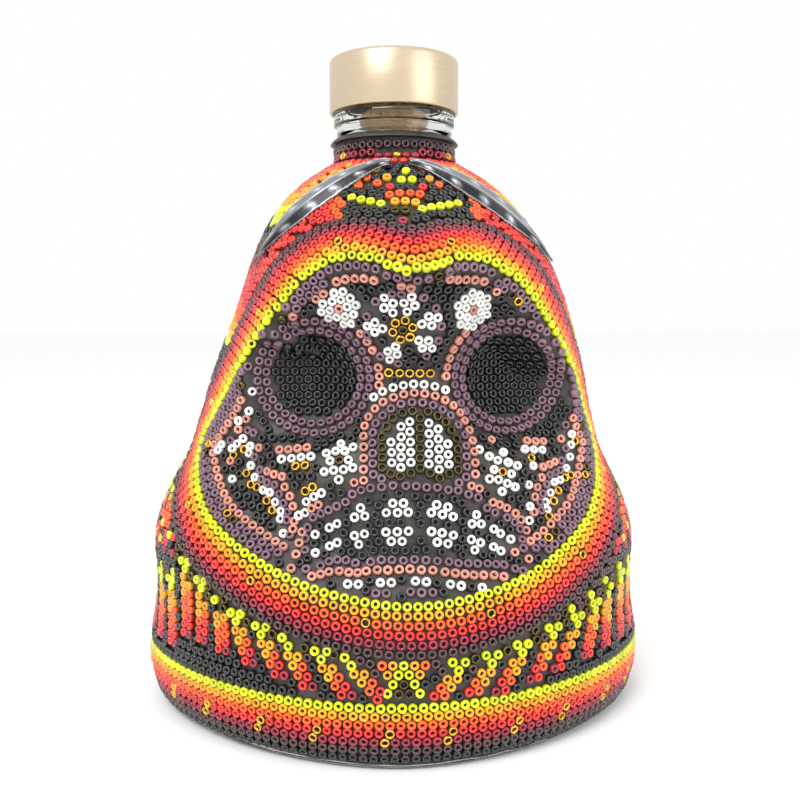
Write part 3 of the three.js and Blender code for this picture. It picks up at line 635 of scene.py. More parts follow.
def ring_of(x, z, radius, colour, start=0, end=360):
    """Beads a pitch apart along the wax, on a circle about x, z as the face is seen."""
    turn = [math.radians(start + (end - start) * k / 180) for k in range(181)]
    round_it = [front_place((x + radius * math.cos(a)) * MM, (z + radius * math.sin(a)) * MM) for a in turn]
    route = np.array([tuple(r[0]) for r in round_it if r])
    closed = end - start == 360
    return [seat(p) + (colour,) for p in evenly(route[:-1] if closed else route, closed, PITCH)]


def tangents(place, normal):
    """Level and upward directions along the wax at a place."""
    level = UP.cross(normal).normalized()
    if level.length < 0.5:
        level = Vector((1, 0, 0))
    return level, normal.cross(level).normalized()


def stamp(place, normal, beads):
    """Beads at (along, up, colour) in millimetres round a place on the wax."""
    level, rise = tangents(place, normal)
    return [seat(place + level * (a * MM) + rise * (b * MM)) + (colour,) for a, b, colour in beads]


def ray_of(angle, beads):
    """(out, aside, colour) turned to point along angle."""
    turn = math.radians(angle)
    c, s = math.cos(turn), math.sin(turn)
    return [(out * c - aside * s, out * s + aside * c, colour) for out, aside, colour in beads]


def petal_flower():
    """The forehead flower: a gold ring and six white petals edged with mauve."""
    beads = [(0, 0, "bronze")]
    for angle in range(6):
        beads += ray_of(angle * 60 + 15, [(2.35, 0, "gold")])
    petal = [(4.6, 0, "white"), (6.6, -1.2, "white"), (6.6, 1.2, "white"), (8.7, 0, "white"),
             (8.9, -2.4, "mauve"), (8.9, 2.4, "mauve")]
    for angle in (18, 76, 120, 178, 249, 324):
        beads += ray_of(angle, petal)
    return beads


def half_flower(turn):
    """White beads round a pink one, cut off by the rows above."""
    beads = [(0, 0, "pink")]
    for k in range(6):
        beads += ray_of(k * 60 + turn, [(2.35, 0, "white"), (4.7, 0, "white")])
        beads += ray_of(k * 60 + turn + 30, [(4.1, 0, "white")])
    return beads


# ---- rows round the features
# The lists of places in this file are (x, z) in millimetres as the face is seen, and for the robe's bars
# (degrees from the front, z). A separate measuring script worked most of them out, as the report tells.
EYES = {"left": (-21.1, 89.4), "right": (26.7, 89.4)}
EYE_RINGS = (12.0, 14.1)
UPPER_LIP_MAUVE = (
    (-23, 49.2), (-22.7, 51.8), (-22.1, 54.5), (-20.8, 57), (-19, 58), (-17.2, 58.9), (-15.3, 59.8),
    (-13.3, 60.8), (-11.7, 62.6), (-9.7, 63.5), (-7.5, 64), (-4.9, 64.2), (-2.3, 64.5), (0.7, 64.4),
    (3.1, 64.3), (5.5, 64), (8, 63.9), (10.6, 63.3), (12.9, 63.1), (15.4, 62.1), (17.7, 61.3),
    (19.8, 58.8), (21.7, 57.6), (24.8, 56.1), (26.8, 54.8), (28.1, 53), (28.5, 50.6), (28.6, 48.9),
)
UPPER_LIP_PINK = (
    (-26, 45.8), (-25, 48.4), (-24.3, 50.7), (-23.5, 53.3), (-22.5, 56), (-21.2, 59.1), (-19.6, 60),
    (-17.8, 60.2), (-16.2, 61.1), (-14.4, 61.7), (-11.3, 65.2), (16.2, 64), (18.1, 63.3), (21.3, 60),
    (23, 59.3), (24.8, 58.4), (27, 56.9), (28.5, 55.2), (29.8, 52.6), (29.9, 50.9), (29.8, 48.9),
    (29.8, 46.7),
)
LOWER_LIP_MAUVE = (
    (-22.6, 45.6), (-21, 45.9), (-19.3, 46.1), (-17.2, 47), (-15.2, 47.4), (-13.2, 47.5), (-11, 46.9),
    (-7.6, 47.2), (-5.1, 47.8), (-2.7, 47.8), (-0.1, 47.7), (2.5, 47.9), (5.1, 47.7), (7.7, 47.4),
    (10.4, 47), (12.6, 46.6), (14.9, 46.4), (17.2, 46.2), (19.6, 46.1), (21.6, 45.8), (23.5, 45.6),
    (26.1, 44.7), (28, 44.1),
)
LOWER_LIP_PINK = (
    (-23.8, 43.8), (-21.2, 44.2), (-19.2, 44.6), (-17.2, 45), (-14.8, 45.2), (-12.6, 45), (-10.6, 45),
    (-8.6, 45.3), (-6.1, 45.6), (-3.7, 45.6), (-1.1, 45.7), (1.4, 45.8), (4, 45.6), (6.6, 45.4),
    (9.4, 45), (11.8, 44.6), (14, 44.3), (16.1, 44), (18.4, 43.9), (20.9, 43.8), (23.2, 43.4),
    (25.8, 42.7),
)
NOSE_PINK = (
    (-9.1, 65.7), (-9.1, 68.1), (-9, 70.5), (-8.9, 72.9), (-8.8, 75.3), (-8.4, 77.7), (-7.4, 79.9),
    (-5.9, 81.9), (-4.1, 83.5), (-1.8, 84.6), (0.6, 85.3), (3.1, 85.6), (5.6, 85.4), (8, 84.8),
    (10.3, 83.8), (12.3, 82.4), (14, 80.6), (15.2, 78.5), (16.2, 76.2), (16.9, 73.8), (17.2, 71.4),
    (17.3, 69), (17.3, 66.6),
)
NOSE_WHITE_ARCH = (
    (-6.2, 84.6), (-4.2, 86), (-1.9, 87), (0.5, 87.6), (3, 87.9), (5.5, 87.8), (8, 87.2), (10.4, 86.3),
    (12.5, 85),
)


def make_eye_courses():
    """Two closed rings round each eye."""
    for side, (x, z) in EYES.items():
        lay(f"{side}_eye_inner_course", ring_of(x, z, EYE_RINGS[0], "mauve"))
        lay(f"{side}_eye_outer_course", ring_of(x, z, EYE_RINGS[1], "mauve"))


def make_nose_and_lip_courses():
    """The arch of the nose, and the rows of both lips."""
    lay("nose_inner_course", on_face(NOSE_PINK, "pink"))
    lay("nose_outer_course", on_face(NOSE_WHITE_ARCH, "white"))
    lay("upper_lip_inner_course", on_face(UPPER_LIP_MAUVE, "mauve"))
    lay("upper_lip_outer_course", on_face(UPPER_LIP_PINK, "pink"))
    lay("lower_lip_course", on_face(LOWER_LIP_MAUVE, "mauve") + on_face(LOWER_LIP_PINK, "pink"))


OPENING_ROWS = {"outer": 2.15, "inner": 4.25, "pink": 6.35}  # mm inside the yellow row
STUD_EVERY = 9  # beads, two of them metal


def make_opening_courses():
    """Mauve, studded mauve and pink rows inside the yellow one, all but at the chin."""
    yellow = centreline("hood_course_yellow", FACE_MIDDLE, INWARDS)[0]
    rows = {name: [] for name in OPENING_ROWS}
    for name, distance in OPENING_ROWS.items():
        route = stepped(yellow, -distance * MM)
        for index, place in enumerate(evenly(route, True, PITCH, 0.5 * (name == "inner"))):
            colour = "pink" if name == "pink" else "mauve"
            if name == "inner" and index % STUD_EVERY in (4, 5):
                colour = "gold" if index % STUD_EVERY == 5 else "bronze"
            if place.z > CHIN:
                rows[name].append(seat(place) + (colour,))
    for name, node in (("outer", "outer_mauve"), ("inner", "inner_mauve"), ("pink", "inner_pink")):
        lay(f"brow_course_{node}", [b for b in rows[name] if b[0].z > BROW])
    for side, sign in (("left", -1), ("right", 1)):
        below = {k: [b for b in row if b[0].z <= BROW and b[0].x * sign > 0] for k, row in rows.items()}
        lay(f"{side}_cheek_course_mauve", below["outer"] + below["inner"])
        lay(f"{side}_cheek_course_pink", below["pink"])


# ---- motifs of the face
TEETH = (
    (-2.4, 60.6), (0.1, 60.6), (-3.9, 58.5), (-1.3, 58.5), (1.2, 58.6), (7.8, 60.1), (10.4, 59.5),
    (6.5, 58.4), (9.1, 57.9), (11.6, 57.3), (-9.8, 59.5), (-11.2, 57.4), (-8.8, 57.7), (17.2, 57.4),
    (16.1, 55.4), (18.3, 55.2), (-17, 54.8), (-15.2, 55.8), (21.5, 53.7), (23.1, 52.5), (-20.3, 53),
    (25.7, 51), (-4, 54.2), (-1.4, 54.3), (1.2, 54.4), (-2.8, 52.1), (-0.3, 52.1), (6.5, 54.2),
    (9, 53.8), (11.6, 53.1), (7.8, 51.7), (10.3, 51.2), (-11.2, 53.2), (-8.9, 53.7), (-10.2, 51.2),
    (15.9, 51.8), (18.1, 50.9), (16.7, 49.3), (-17, 50.5), (-15.2, 51.4), (21.3, 49.6), (23.1, 48.6),
    (-20.5, 48.7), (26.6, 47.1),
)
CHIN_WHITE = (
    (-12.9, 42.9), (-10.5, 42.9), (-5.5, 43.2), (-3, 43.2), (2.5, 43.4), (5, 43.2), (10.5, 42.6),
    (13, 42.2), (17.8, 41.7), (20.2, 41.7),
)
CHIN_MAUVE = (
    (-14.9, 41.4), (-12.5, 41.2), (-6.6, 41.2), (-4.2, 41.2), (1.3, 41.4), (3.8, 41.2), (6.3, 41.2),
    (12.4, 40.2), (14.8, 40),
)
NOSE_MAUVE = (
    (-6.5, 76.3), (-6.8, 73.9), (-6.8, 71.6), (-6.9, 69.4), (-6.8, 67), (-4.9, 66.1), (15, 75.3),
    (15.2, 72.8), (15.2, 70.5), (15.2, 68.3), (15, 66), (13.2, 64.8), (-5.8, 78.5), (-4.3, 80.4),
    (-2.4, 82), (-0.1, 83), (2.5, 83.4), (5, 83.3), (7.4, 82.7), (9.6, 81.6), (11.5, 80.1), (13.4, 77.8),
)
NOSE_BRONZE = (
    (-4.6, 75.4), (-4.7, 73), (-4.7, 70.7), (-4.8, 68.5), (-2.8, 67.1), (-0.6, 66.5), (1.9, 67.2),
    (4.3, 77.5), (4.3, 75.1), (4.2, 72.8), (4.2, 70.5), (4.1, 68.2), (6.4, 67.1), (8.6, 66), (10.9, 66.9),
    (12.9, 74.6), (13.1, 72.2), (13.1, 69.9), (13.1, 67.7), (4.3, 79.8), (-3.4, 77.8), (-2, 79.8), (0.2, 81),
    (2.6, 81.4), (6.2, 81.2), (8.4, 80.2), (10.3, 78.7), (11.6, 76.7),
)
NOSTRILS = (
    (-0.2, 75.5), (-0.3, 73.1), (-0.3, 70.8), (-0.4, 68.5), (1.9, 79), (1.9, 76.7), (2, 74.3), (2, 71.9),
    (2, 69.6), (-2.6, 74.3), (-2.5, 71.9), (-2.5, 69.6), (-0.2, 77.9), (6.4, 78.6), (6.4, 76.2),
    (6.4, 73.8), (6.3, 71.5), (6.2, 69.2), (8.6, 77.2), (8.6, 74.9), (8.7, 72.5), (8.7, 70.2), (8.6, 67.9),
    (10.8, 73.6), (10.9, 71.2), (11, 69),
)
LEFT_STAR = (
    (-14.3, 73.3), (-17.8, 71.2), (-15.6, 71.7), (-13.4, 71.8), (-11.4, 72.8), (-12.6, 70.0),
    (-16.9, 69.6), (-18.3, 67.4), (-16.1, 67.8), (-13.8, 68), (-11.6, 68.4), (-14.9, 65.8),
)
RIGHT_STAR = (
    (24.7, 70.8), (21, 70.2), (23.0, 69.2), (25.6, 68.6), (27.8, 67.8), (26.1, 66.2), (21.9, 67.3),
    (20.7, 65.4), (22.9, 65.1), (25.0, 64.2), (27, 63.2), (23.7, 62.4),
)
LEFT_CHEEK = {
    "white": (
        (-35.5, 89.2), (-36.4, 85.9), (-36.8, 81), (-39.5, 78.4), (-39.1, 85), (-40.2, 83.3), (-41.3, 81.4),
        (-41.9, 80.3), (-43.7, 73.6), (-44, 72.1), (-44.8, 70.6), (-45.9, 69.5), (-45, 67.3), (-44.3, 66.1),
        (-38.4, 74), (-39.9, 72.6), (-41.2, 71.3), (-37.2, 73.2), (-36.4, 72.2), (-36.8, 70.4),
        (-36.2, 67.5), (-35, 64.9), (-32.9, 62.2), (-31.2, 61.9), (-29.9, 59.8), (-28.5, 57.8),
        (-28.7, 55.9), (-28.1, 52.5), (-24.2, 57.2), (-22.7, 58), (-28.5, 69.7), (-26.1, 69.9),
        (-23.8, 70.2), (-21.5, 70.4), (-22.4, 60.6), (-20.6, 61.9), (-18.9, 62.8), (-24.1, 54), (-41, 63.9),
    ),
    "gold": (
        (-38.2, 83.9), (-39.6, 82.4), (-40.1, 81.2), (-41.3, 79.1), (-38.8, 71.6), (-38, 71.3),
        (-40.8, 69.7), (-37.4, 68), (-37.3, 65.6), (-36.1, 63.1), (-34.4, 62.7), (-32, 59.9), (-30.6, 57.8),
        (-29, 54.4), (-29.4, 53.1), (-40.4, 62.9), (-25, 68.2), (-22.8, 68.5), (-22.6, 63.1), (-20.9, 64.1),
    ),
    "pink": (
        (-37.5, 79), (-36.5, 77.8), (-34.1, 72), (-31.8, 66.7), (-30.1, 66.2), (-28.1, 65.9), (-27.5, 63.6),
        (-26.3, 61.6), (-25.6, 59.3), (-25.3, 55.7), (-25.7, 53.7), (-29.1, 71.6), (-26.9, 71.7),
        (-24.7, 72), (-22.5, 72.2), (-39.6, 76.3), (-42.1, 75.5), (-41.6, 68.2),
    ),
    "mauve": (
        (-38.8, 76.4), (-37.1, 76.2), (-35.6, 75.6), (-34.6, 74.9), (-35.6, 71.6), (-35.2, 69.6),
        (-33.7, 66.8), (-33.3, 64.6), (-31.8, 64.1), (-29.9, 63.8), (-28.8, 61.8), (-27.8, 59.8),
        (-26.9, 57.8), (-27.1, 55.8), (-26.5, 52.3), (-40.2, 74.8), (-41.6, 73.3),
    ),
}
CHEEK_MIRROR = 6.6  # the sum of the x of a bead and of its mirror image
RIGHT_CHEEK = {
    colour: tuple((CHEEK_MIRROR - x, z + 0.9) for x, z in points if x < -23.5)
    for colour, points in LEFT_CHEEK.items()
}
RIGHT_CHEEK["pink"] += ((22, 73.6), (28.9, 71.3), (33.3, 70.8))
RIGHT_CHEEK["white"] += ((18.6, 71.8), (18.6, 67.2), (32.1, 67.4), (30.6, 63.3))


def coloured(table):
    """Beads on the face from lists of places by colour."""
    return [bead for colour, points in table.items() for bead in on_face(points, colour)]


def make_face():
    """Every bead of the face that isn't in a row: the motifs, and the black between them."""
    centre = front_place(0.1 * MM, 101.3 * MM)
    motifs = stamp(*centre, petal_flower())
    motifs += stamp(*front_place(-14.5 * MM, 106.3 * MM), half_flower(10))
    motifs += stamp(*front_place(16.6 * MM, 106.0 * MM), half_flower(-10))
    motifs += on_face(line((-2.9, 91.0), (6.9, 90.8), 5), "gold")
    motifs += ring_of(*EYES["left"], EYE_RINGS[1] + 2.1, "pink", -20, 48)
    motifs += ring_of(*EYES["right"], EYE_RINGS[1] + 2.1, "pink", 132, 200)
    motifs += on_face(TEETH + CHIN_WHITE + NOSTRILS + LEFT_STAR + RIGHT_STAR, "white")
    motifs += on_face(CHIN_MAUVE + NOSE_MAUVE, "mauve") + on_face(NOSE_BRONZE + ((-14.7, 69.8),), "bronze")
    motifs += on_face(((23.9, 66.8),), "gold")
    motifs += coloured(LEFT_CHEEK) + coloured(RIGHT_CHEEK)
    rows = front_rows(Vector((-48, 0, 38)) * MM, Vector((52, 0, 119)) * MM)
    fill(FACE_FIELDS, motifs, rows, {node: lambda p: "black" for node in FACE_FIELDS})


# ---- fields of beads
FACE_FIELDS = (
    "forehead_panel", "left_cheek_panel", "right_cheek_panel", "nose_panel", "teeth_panel", "chin_panel",
    "left_eye_socket", "right_eye_socket",
)
BODY_FIELDS = ("robe_band", "left_sleeve", "right_sleeve", "back_panel")
TOP_FIELDS = ("crown_panel", "mantle")
FARTHEST = 7 * MM  # from a bead's place to its CAD panel
ROUTE_POINTS = 240
CLIMB = 2.04 * MM  # from one climbing row to the next
FINE_GRID = 0.8 * MM
ROUND_GRID = 0.9  # millimetres
ROUND_TURN = 1.1  # degrees
PUSH = 0.35  # of what two beads lack, in each pass of relax


def node_tree(node):
    """The node's faces, for asking how near they are."""
    bm = merged(node)
    tree = BVHTree.FromBMesh(bm)
    bm.free()
    return tree


TREES = {node: node_tree(node) for node in FACE_FIELDS + BODY_FIELDS + TOP_FIELDS}


def owner_of(place):
    """The CAD panel nearest to a place on the wax."""
    best = None
    reach = FARTHEST
    for node, tree in TREES.items():
        hit = tree.find_nearest(place, reach)
        if hit[0] is not None:
            best = node
            reach = hit[3]
    return best


def front_rows(low, high, row=ROW, pitch=PITCH):
    """Nesting rows over a stretch of the face, then a fine grid for what they leave bare."""
    found = []
    for down, across, nested in ((row, pitch, True), (FINE_GRID, FINE_GRID, False)):
        for index in range(int((high.z - low.z) / down)):
            shift = across / 2 if nested and index % 2 else 0
            for step in range(int((high.x - low.x) / across)):
                found.append(front_place(low.x + shift + step * across, low.z + index * down))
    return [f for f in found if f]


def climbing_rows(node, distance, count):
    """Rows up or down the wax from a CAD row, each a bead's width on from the last."""
    route = centreline(node, BODY_MIDDLE, UP, ROUTE_POINTS)[0]
    found = []
    for index in range(count):
        route = stepped(route, distance)
        found += [seat(place) for place in evenly(route, True, PITCH, 0.5 * (index % 2))]
        length = float(np.linalg.norm(np.roll(route, -1, 0) - route, axis=1).sum())
        route = np.array([tuple(p) for p in evenly(route, True, length / ROUTE_POINTS)])
    return found


def round_grid(low, high):
    """A fine grid round the body, for what the rows leave bare."""
    found = []
    for index in range(int((high - low) / (ROUND_GRID * MM))):
        for degrees in np.arange(0, 360, ROUND_TURN):
            found.append(side_place(math.radians(degrees), low + index * ROUND_GRID * MM))
    return [f for f in found if f]


def relax(free, passes):
    """Pushes free places apart along the wax until they lie evenly."""
    if not free:
        return free
    places = np.array([tuple(p) for p, _ in free])
    low = places.min(0) - 3 * MM
    high = places.max(0) + 3 * MM
    still = np.array([t for t in taken if all(low[k] < t[k] < high[k] for k in range(3))]).reshape(-1, 3)
    for _ in range(passes):
        tree = KDTree(len(places) + len(still))
        for index, point in enumerate(np.vstack([places, still])):
            tree.insert(point, index)
        tree.balance()
        moves = np.zeros_like(places)
        for index, point in enumerate(places):
            for other, which, distance in tree.find_range(point, PITCH):
                if which != index:
                    away = (point - np.array(other)) / max(distance, 1e-6)
                    moves[index] += away * (PITCH - distance) * PUSH
        places = np.array([tuple(seat(Vector(p))[0]) for p in places + moves])
    return [seat(Vector(p)) for p in places]


def fill(nodes, motifs, rows, colours, passes=5, reach=NEAREST):
    """Sets motifs and then rows of beads over CAD panels, each panel a piece of its own."""
    spots = {node: [] for node in nodes}
    for spot in motifs:
        node = owner_of(spot[0])
        if is_clear(spot[0], MOTIF_ROOM * NEAREST) and node:
            spots[node if node in nodes else nodes[0]].append(spot)
            note(spot[0])
    settled = {cell: list(beads) for cell, beads in crowd.items()}
    rows = [(place, normal) for place, normal in rows if is_clear(place, reach) and owner_of(place) in nodes]
    free = []
    for place, normal in rows:
        if is_clear(place, reach):
            free.append((place, normal))
            crowd.setdefault(cell_of(place), []).append(place)
    free = relax(free, passes)
    crowd.clear()
    crowd.update(settled)
    late = rows if passes else []
    for place, normal in free + late:
        if is_clear(place, LATE_ROOM * reach):
            node = owner_of(place)
            node = node if node in nodes else nodes[0]
            spots[node].append((place, normal, colours[node](place)))
            note(place)
    for node in nodes:
        for part, beads in parts_of(spots[node]):
            set_beads(f"{part}{node}_beads", beads, [node], slot_of(node))


def parts_of(spots):
    """A big field's beads in a lower and an upper part, so that no piece is too heavy."""
    if len(spots) <= MOST_BEADS:
        return [("", spots)]
    spots = sorted(spots, key=lambda spot: spot[0].z)
    return [("lower_", spots[:len(spots) // 2]), ("upper_", spots[len(spots) // 2:])]


# ---- robe and hood
LEFT_BARS = (
    ((-5, 18.1), (-12, 25.5)), ((-13, 18.8), (-19, 26.4)), ((-22, 20), (-27, 28.6)),
    ((-29, 21.7), (-34, 30.4)), ((-37, 23.4), (-41, 32.4)), ((-45, 24.6), (-46, 34.6)),
    ((-52, 25.5), (-52, 38.4)), ((-58, 25.5), (-58, 41.9)),
)
RIGHT_BARS = (
    ((6, 16.8), (12, 23.9)), ((14, 16.8), (20, 24.7)), ((22, 18), (28, 26)), ((31, 19.4), (37, 28.5)),
    ((38, 20.4), (45, 29.5)), ((48, 21.2), (52, 31.4)), ((56, 21.7), (58, 33.8)),
)
BAR_RISE = ("maroon", "red", "red", "orange", "orange", "amber", "amber")
BAR_PITCH = 7.35 * MM
BROWN_MARGIN = 4.2 * MM  # from the hood's brown row
SLEEVE_COLOURS = ("maroon", "red", "red", "orange", "orange", "amber", "yellow", "orange", "red")


def bar(foot, fork, side):
    """A slanting bar two beads wide, from maroon to amber, with a yellow fork on top."""
    rows = max(4, round((fork[1] - foot[1]) / 2.04))
    beads = []
    for index in range(rows):
        share = index / rows
        angle = math.radians(foot[0] + (fork[0] - foot[0]) * share)
        place, normal = side_place(angle, (foot[1] + (fork[1] - foot[1]) * share) * MM)
        step = round(share * rows / (rows - 1) * (len(BAR_RISE) - 1))
        second = BAR_RISE[min(len(BAR_RISE) - 1, step + 1)] if index else "red"
        beads += stamp(place, normal, [(-1.2 * side, 0, BAR_RISE[step]), (1.2 * side, 0, second)])
    place, normal = side_place(math.radians(fork[0]), fork[1] * MM)
    beads += stamp(place, normal, [
        (0, 0, "yellow"), (-1.4 * side, 2.0, "yellow"), (-2.2 * side, 4.3, "yellow"),
        (1.6 * side, 1.8, "yellow"), (4.0 * side, 2.4, "bronze"),
        (3.6 * side, 4.8, "bronze"), (1.2 * side, 4.4, "brown"),
    ])
    return beads


def robe_flower():
    """The fan at the middle of the robe band: orange over amber over a yellow chevron."""
    rows = (
        (27.8, (("orange", 1.5), ("amber", 0.5))),
        (25.7, (("orange", 2), ("amber", 1), ("yellow", 0))),
        (23.6, (("amber", 1.5), ("yellow", 0.5))),
        (21.5, (("yellow", 1), ("bronze", 0))),
        (19.4, (("yellow", 1.5), ("bronze", 0.5))),
        (17.4, (("bronze", 1), ("brown", 0))),
    )
    beads = []
    for z, row in rows:
        for colour, out in row:
            beads += on_face(sorted({(out * 2.42 - 0.4, z), (-out * 2.42 - 0.4, z)}), colour)
    return beads


def robe_between(place):
    """Black between the bars, brown where the robe meets the hood."""
    return "brown" if HOOD_EDGE.find_nearest(place)[3] < BROWN_MARGIN else "black"


def along_robe(place):
    """Distance round the robe from the front."""
    return abs(math.atan2(place.x, -place.y)) * math.hypot(place.x, place.y)


def stripes(start, end, colours):
    """Upright stripes two beads wide whose colour changes with height."""
    def colour_at(place):
        phase = (along_robe(place) % BAR_PITCH) / BAR_PITCH
        if phase > 0.66:
            return "yellow" if int(place.z / (4.2 * MM)) % 2 and 0.78 < phase < 0.95 else "black"
        share = min(0.999, max(0.0, (place.z - start) / (end - start)))
        return colours[int(share * len(colours))]
    return colour_at


def make_robe():
    """The robe band, the sleeves and the back."""
    motifs = robe_flower()
    for foot, fork in LEFT_BARS:
        motifs += bar(foot, fork, -1)
    for foot, fork in RIGHT_BARS:
        motifs += bar(foot, fork, 1)
    for angle in range(64, 180, 7):
        for side in (-1, 1):
            motifs += bar((side * angle, 21.5), (side * (angle + 2), 35.5), side)
    low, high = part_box("left_sleeve")
    sleeve = stripes(low.z, high.z, SLEEVE_COLOURS)
    colours = {"robe_band": robe_between, "left_sleeve": sleeve, "right_sleeve": sleeve, "back_panel": sleeve}
    rows = climbing_rows("base_course_yellow", CLIMB, 34) + round_grid(15 * MM, 80 * MM)
    fill(BODY_FIELDS, motifs, rows, colours, 12)


CROWN = {
    "maroon": ((0.2, 125.6),),
    "bronze": ((-1.5, 128.3), (0.9, 128.3)),
    "amber": ((-1.4, 130.6), (1.0, 130.7), (3.4, 130.5), (-5.4, 139.4), (-3, 137.1), (10, 139), (7.2, 137)),
    "orange": ((-0.2, 132.8), (2.3, 132.9), (4.6, 132.6), (-2.6, 132.4), (-7.7, 137.2), (-5.3, 135.6),
               (12.1, 137.2), (9.4, 135.4), (-9.8, 135.2), (14.2, 135.2)),
    "yellow": ((0.4, 136.5), (3, 136.6), (1.7, 139), (-4, 141.4), (-0.9, 141), (8.2, 141), (5.2, 140.8),
               (-11.4, 132), (-9.2, 131.3), (-7, 130.7), (-4.7, 130), (4.8, 128.6), (7, 129.2), (9.2, 129.6),
               (11.4, 130.1), (13.6, 130.6)),
    "red": ((1.7, 144.2), (-0.8, 144), (4.2, 144), (1.7, 146.4), (-2.4, 134.6), (5.4, 134.6)),
}
MANTLE_BANDS = ("yellow", "amber", "orange", "red", "maroon", "brown", "black", "black",
                "yellow", "amber", "orange", "red", "red", "maroon", "brown", "black")
MANTLE_BAND = 4.1 * MM
MANTLE_WAVE = 3.2 * MM
CROWN_MIDDLE = 1.7 * MM
CROWN_TOP = 146 * MM  # of the fan's black ground


def mantle_colour(low):
    """Bands up the mantle, each wave crossing from yellow to black."""
    def colour_at(place):
        wave = MANTLE_WAVE * math.cos(6 * math.atan2(place.x, -place.y))
        level = (place.z + wave - low) / MANTLE_BAND
        return MANTLE_BANDS[int(level) % len(MANTLE_BANDS)]
    return colour_at


def crown_between(place):
    """Black round the fan, and warm rows beyond it."""
    out = abs(place.x - CROWN_MIDDLE)
    if place.z > CROWN_TOP:
        return "red"
    if out < 15 * MM:
        return "black"
    return "orange" if out < 18 * MM else "red"


def make_top():
    """The crown over the brow, and the hood's back and shoulders."""
    rows = climbing_rows("neck_course_red", -CLIMB, 60)
    rows += round_grid(40 * MM, 158 * MM)
    colours = {"crown_panel": crown_between, "mantle": mantle_colour(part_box("mantle")[0].z)}
    fill(TOP_FIELDS, coloured(CROWN), rows, colours, 14)


# ---- glass, wax and stopper
def turned(profile, steps=96):
    """A shape turned about the neck's axis from (radius, height) points in millimetres."""
    bm = bmesh.new()
    verts = [bm.verts.new((radius * MM, 0, height * MM)) for radius, height in profile]
    edges = [bm.edges.new(pair) for pair in zip(verts, verts[1:])]
    spin_round(bm, verts + edges, steps)
    bmesh.ops.remove_doubles(bm, verts=bm.verts, dist=1e-6)
    bmesh.ops.recalc_face_normals(bm, faces=bm.faces)
    return bm


def round_size(box):
    """Radius, bottom and top in millimetres of a box about the neck's axis."""
    return box[1].x / MM, box[0].z / MM, box[1].z / MM


def make_cap():
    """The stopper's cap: a shallow metal cup with a rolled top edge."""
    radius, bottom, top = round_size(CAP)
    profile = [
        (0, top), (radius - 1.6, top), (radius - 0.8, top - 0.12), (radius - 0.25, top - 0.5),
        (radius, top - 1.2), (radius, bottom + 0.5), (radius - 0.1, bottom + 0.15), (radius - 0.35, bottom),
        (radius - 0.8, bottom), (radius - 0.8, top - 1.0), (0, top - 1.0),
    ]
    add_piece("turned_cap", turned(profile), [cap_material()], "stopper", ["stopper_cap"])


def make_stopper_inside():
    """The cork and the plastic disc that holds it in the cap."""
    for node, material, slot, edge in (
        ("stopper_cork", cork_material(), "natural_cork", 0.6),
        ("stopper_insert", plastic_material(), "dark_plastic", 0.4),
    ):
        radius, bottom, top = round_size(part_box(node))
        profile = [(0, bottom), (radius - edge * 2, bottom), (radius - edge * 0.5, bottom + edge * 0.5),
                   (radius, bottom + edge * 2), (radius, top - edge), (radius - edge, top), (0, top)]
        add_piece(f"turned_{node}", turned(profile), [material], "stopper", [node])


def make_glass_and_wax():
    """The bottle, smoothed from its CAD shape, and the wax on it."""
    add_piece("wax_layer", WAX_MESH, [wax_material()], "figure", ["wax_coat"])
    glass = rounded("glass_bottle", 2, math.radians(40), 0.85)
    add_piece("bottle", glass, [bottle_material()], "figure", ["glass_bottle"])


# ---- metal strips
STRIP_LENGTH_STEPS = 110
STRIP_WIDTH_STEPS = 16
STRIP_HALF_WIDTH = 3.2 * MM
STRIP_TIP = 0.35 * MM  # half width, never less
STRIP_THICKNESS = 0.4 * MM
BUDS = 11


def strip_route(node):
    """The strip's middle from the hood's peak to its tip, along x."""
    ends = edge_ends(node)
    low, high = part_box(node)
    first, last = (high.x, low.x) if node.startswith("left") else (low.x, high.x)
    points = []
    for share in np.linspace(0.02, 0.93, 30):
        x = first + (last - first) * share
        hits = crossings(ends, ends[:, :, 0] - x)
        if len(hits):
            points.append((hits.min(0) + hits.max(0)) / 2)
    return smoothed(points, False, 3)


def leaf_width(share):
    """Half width of a strip: narrow at the peak, a long leaf, a sharp tip."""
    rise = min(1.0, 0.35 + share * 1.6)
    fall = min(1.0, (1.0 - share) / 0.33)
    return max(STRIP_TIP, STRIP_HALF_WIDTH * rise * max(0.0, fall) ** 0.85)


def leaf_relief(share, across):
    """Height of the embossing, 0 to 1: a rim, a vein and lens-shaped buds."""
    rim = math.exp(-((abs(across) - 0.93) / 0.08) ** 2)
    vein = 0.6 * math.exp(-(across / 0.10) ** 2)
    phase = (share * BUDS) % 1.0 - 0.5
    side = 0.48 if int(share * BUDS) % 2 else -0.48
    bud = math.exp(-((phase / 0.30) ** 2 + ((across - side - phase * 0.3) / 0.22) ** 2))
    return min(1.0, max(rim, vein, bud * 0.95))


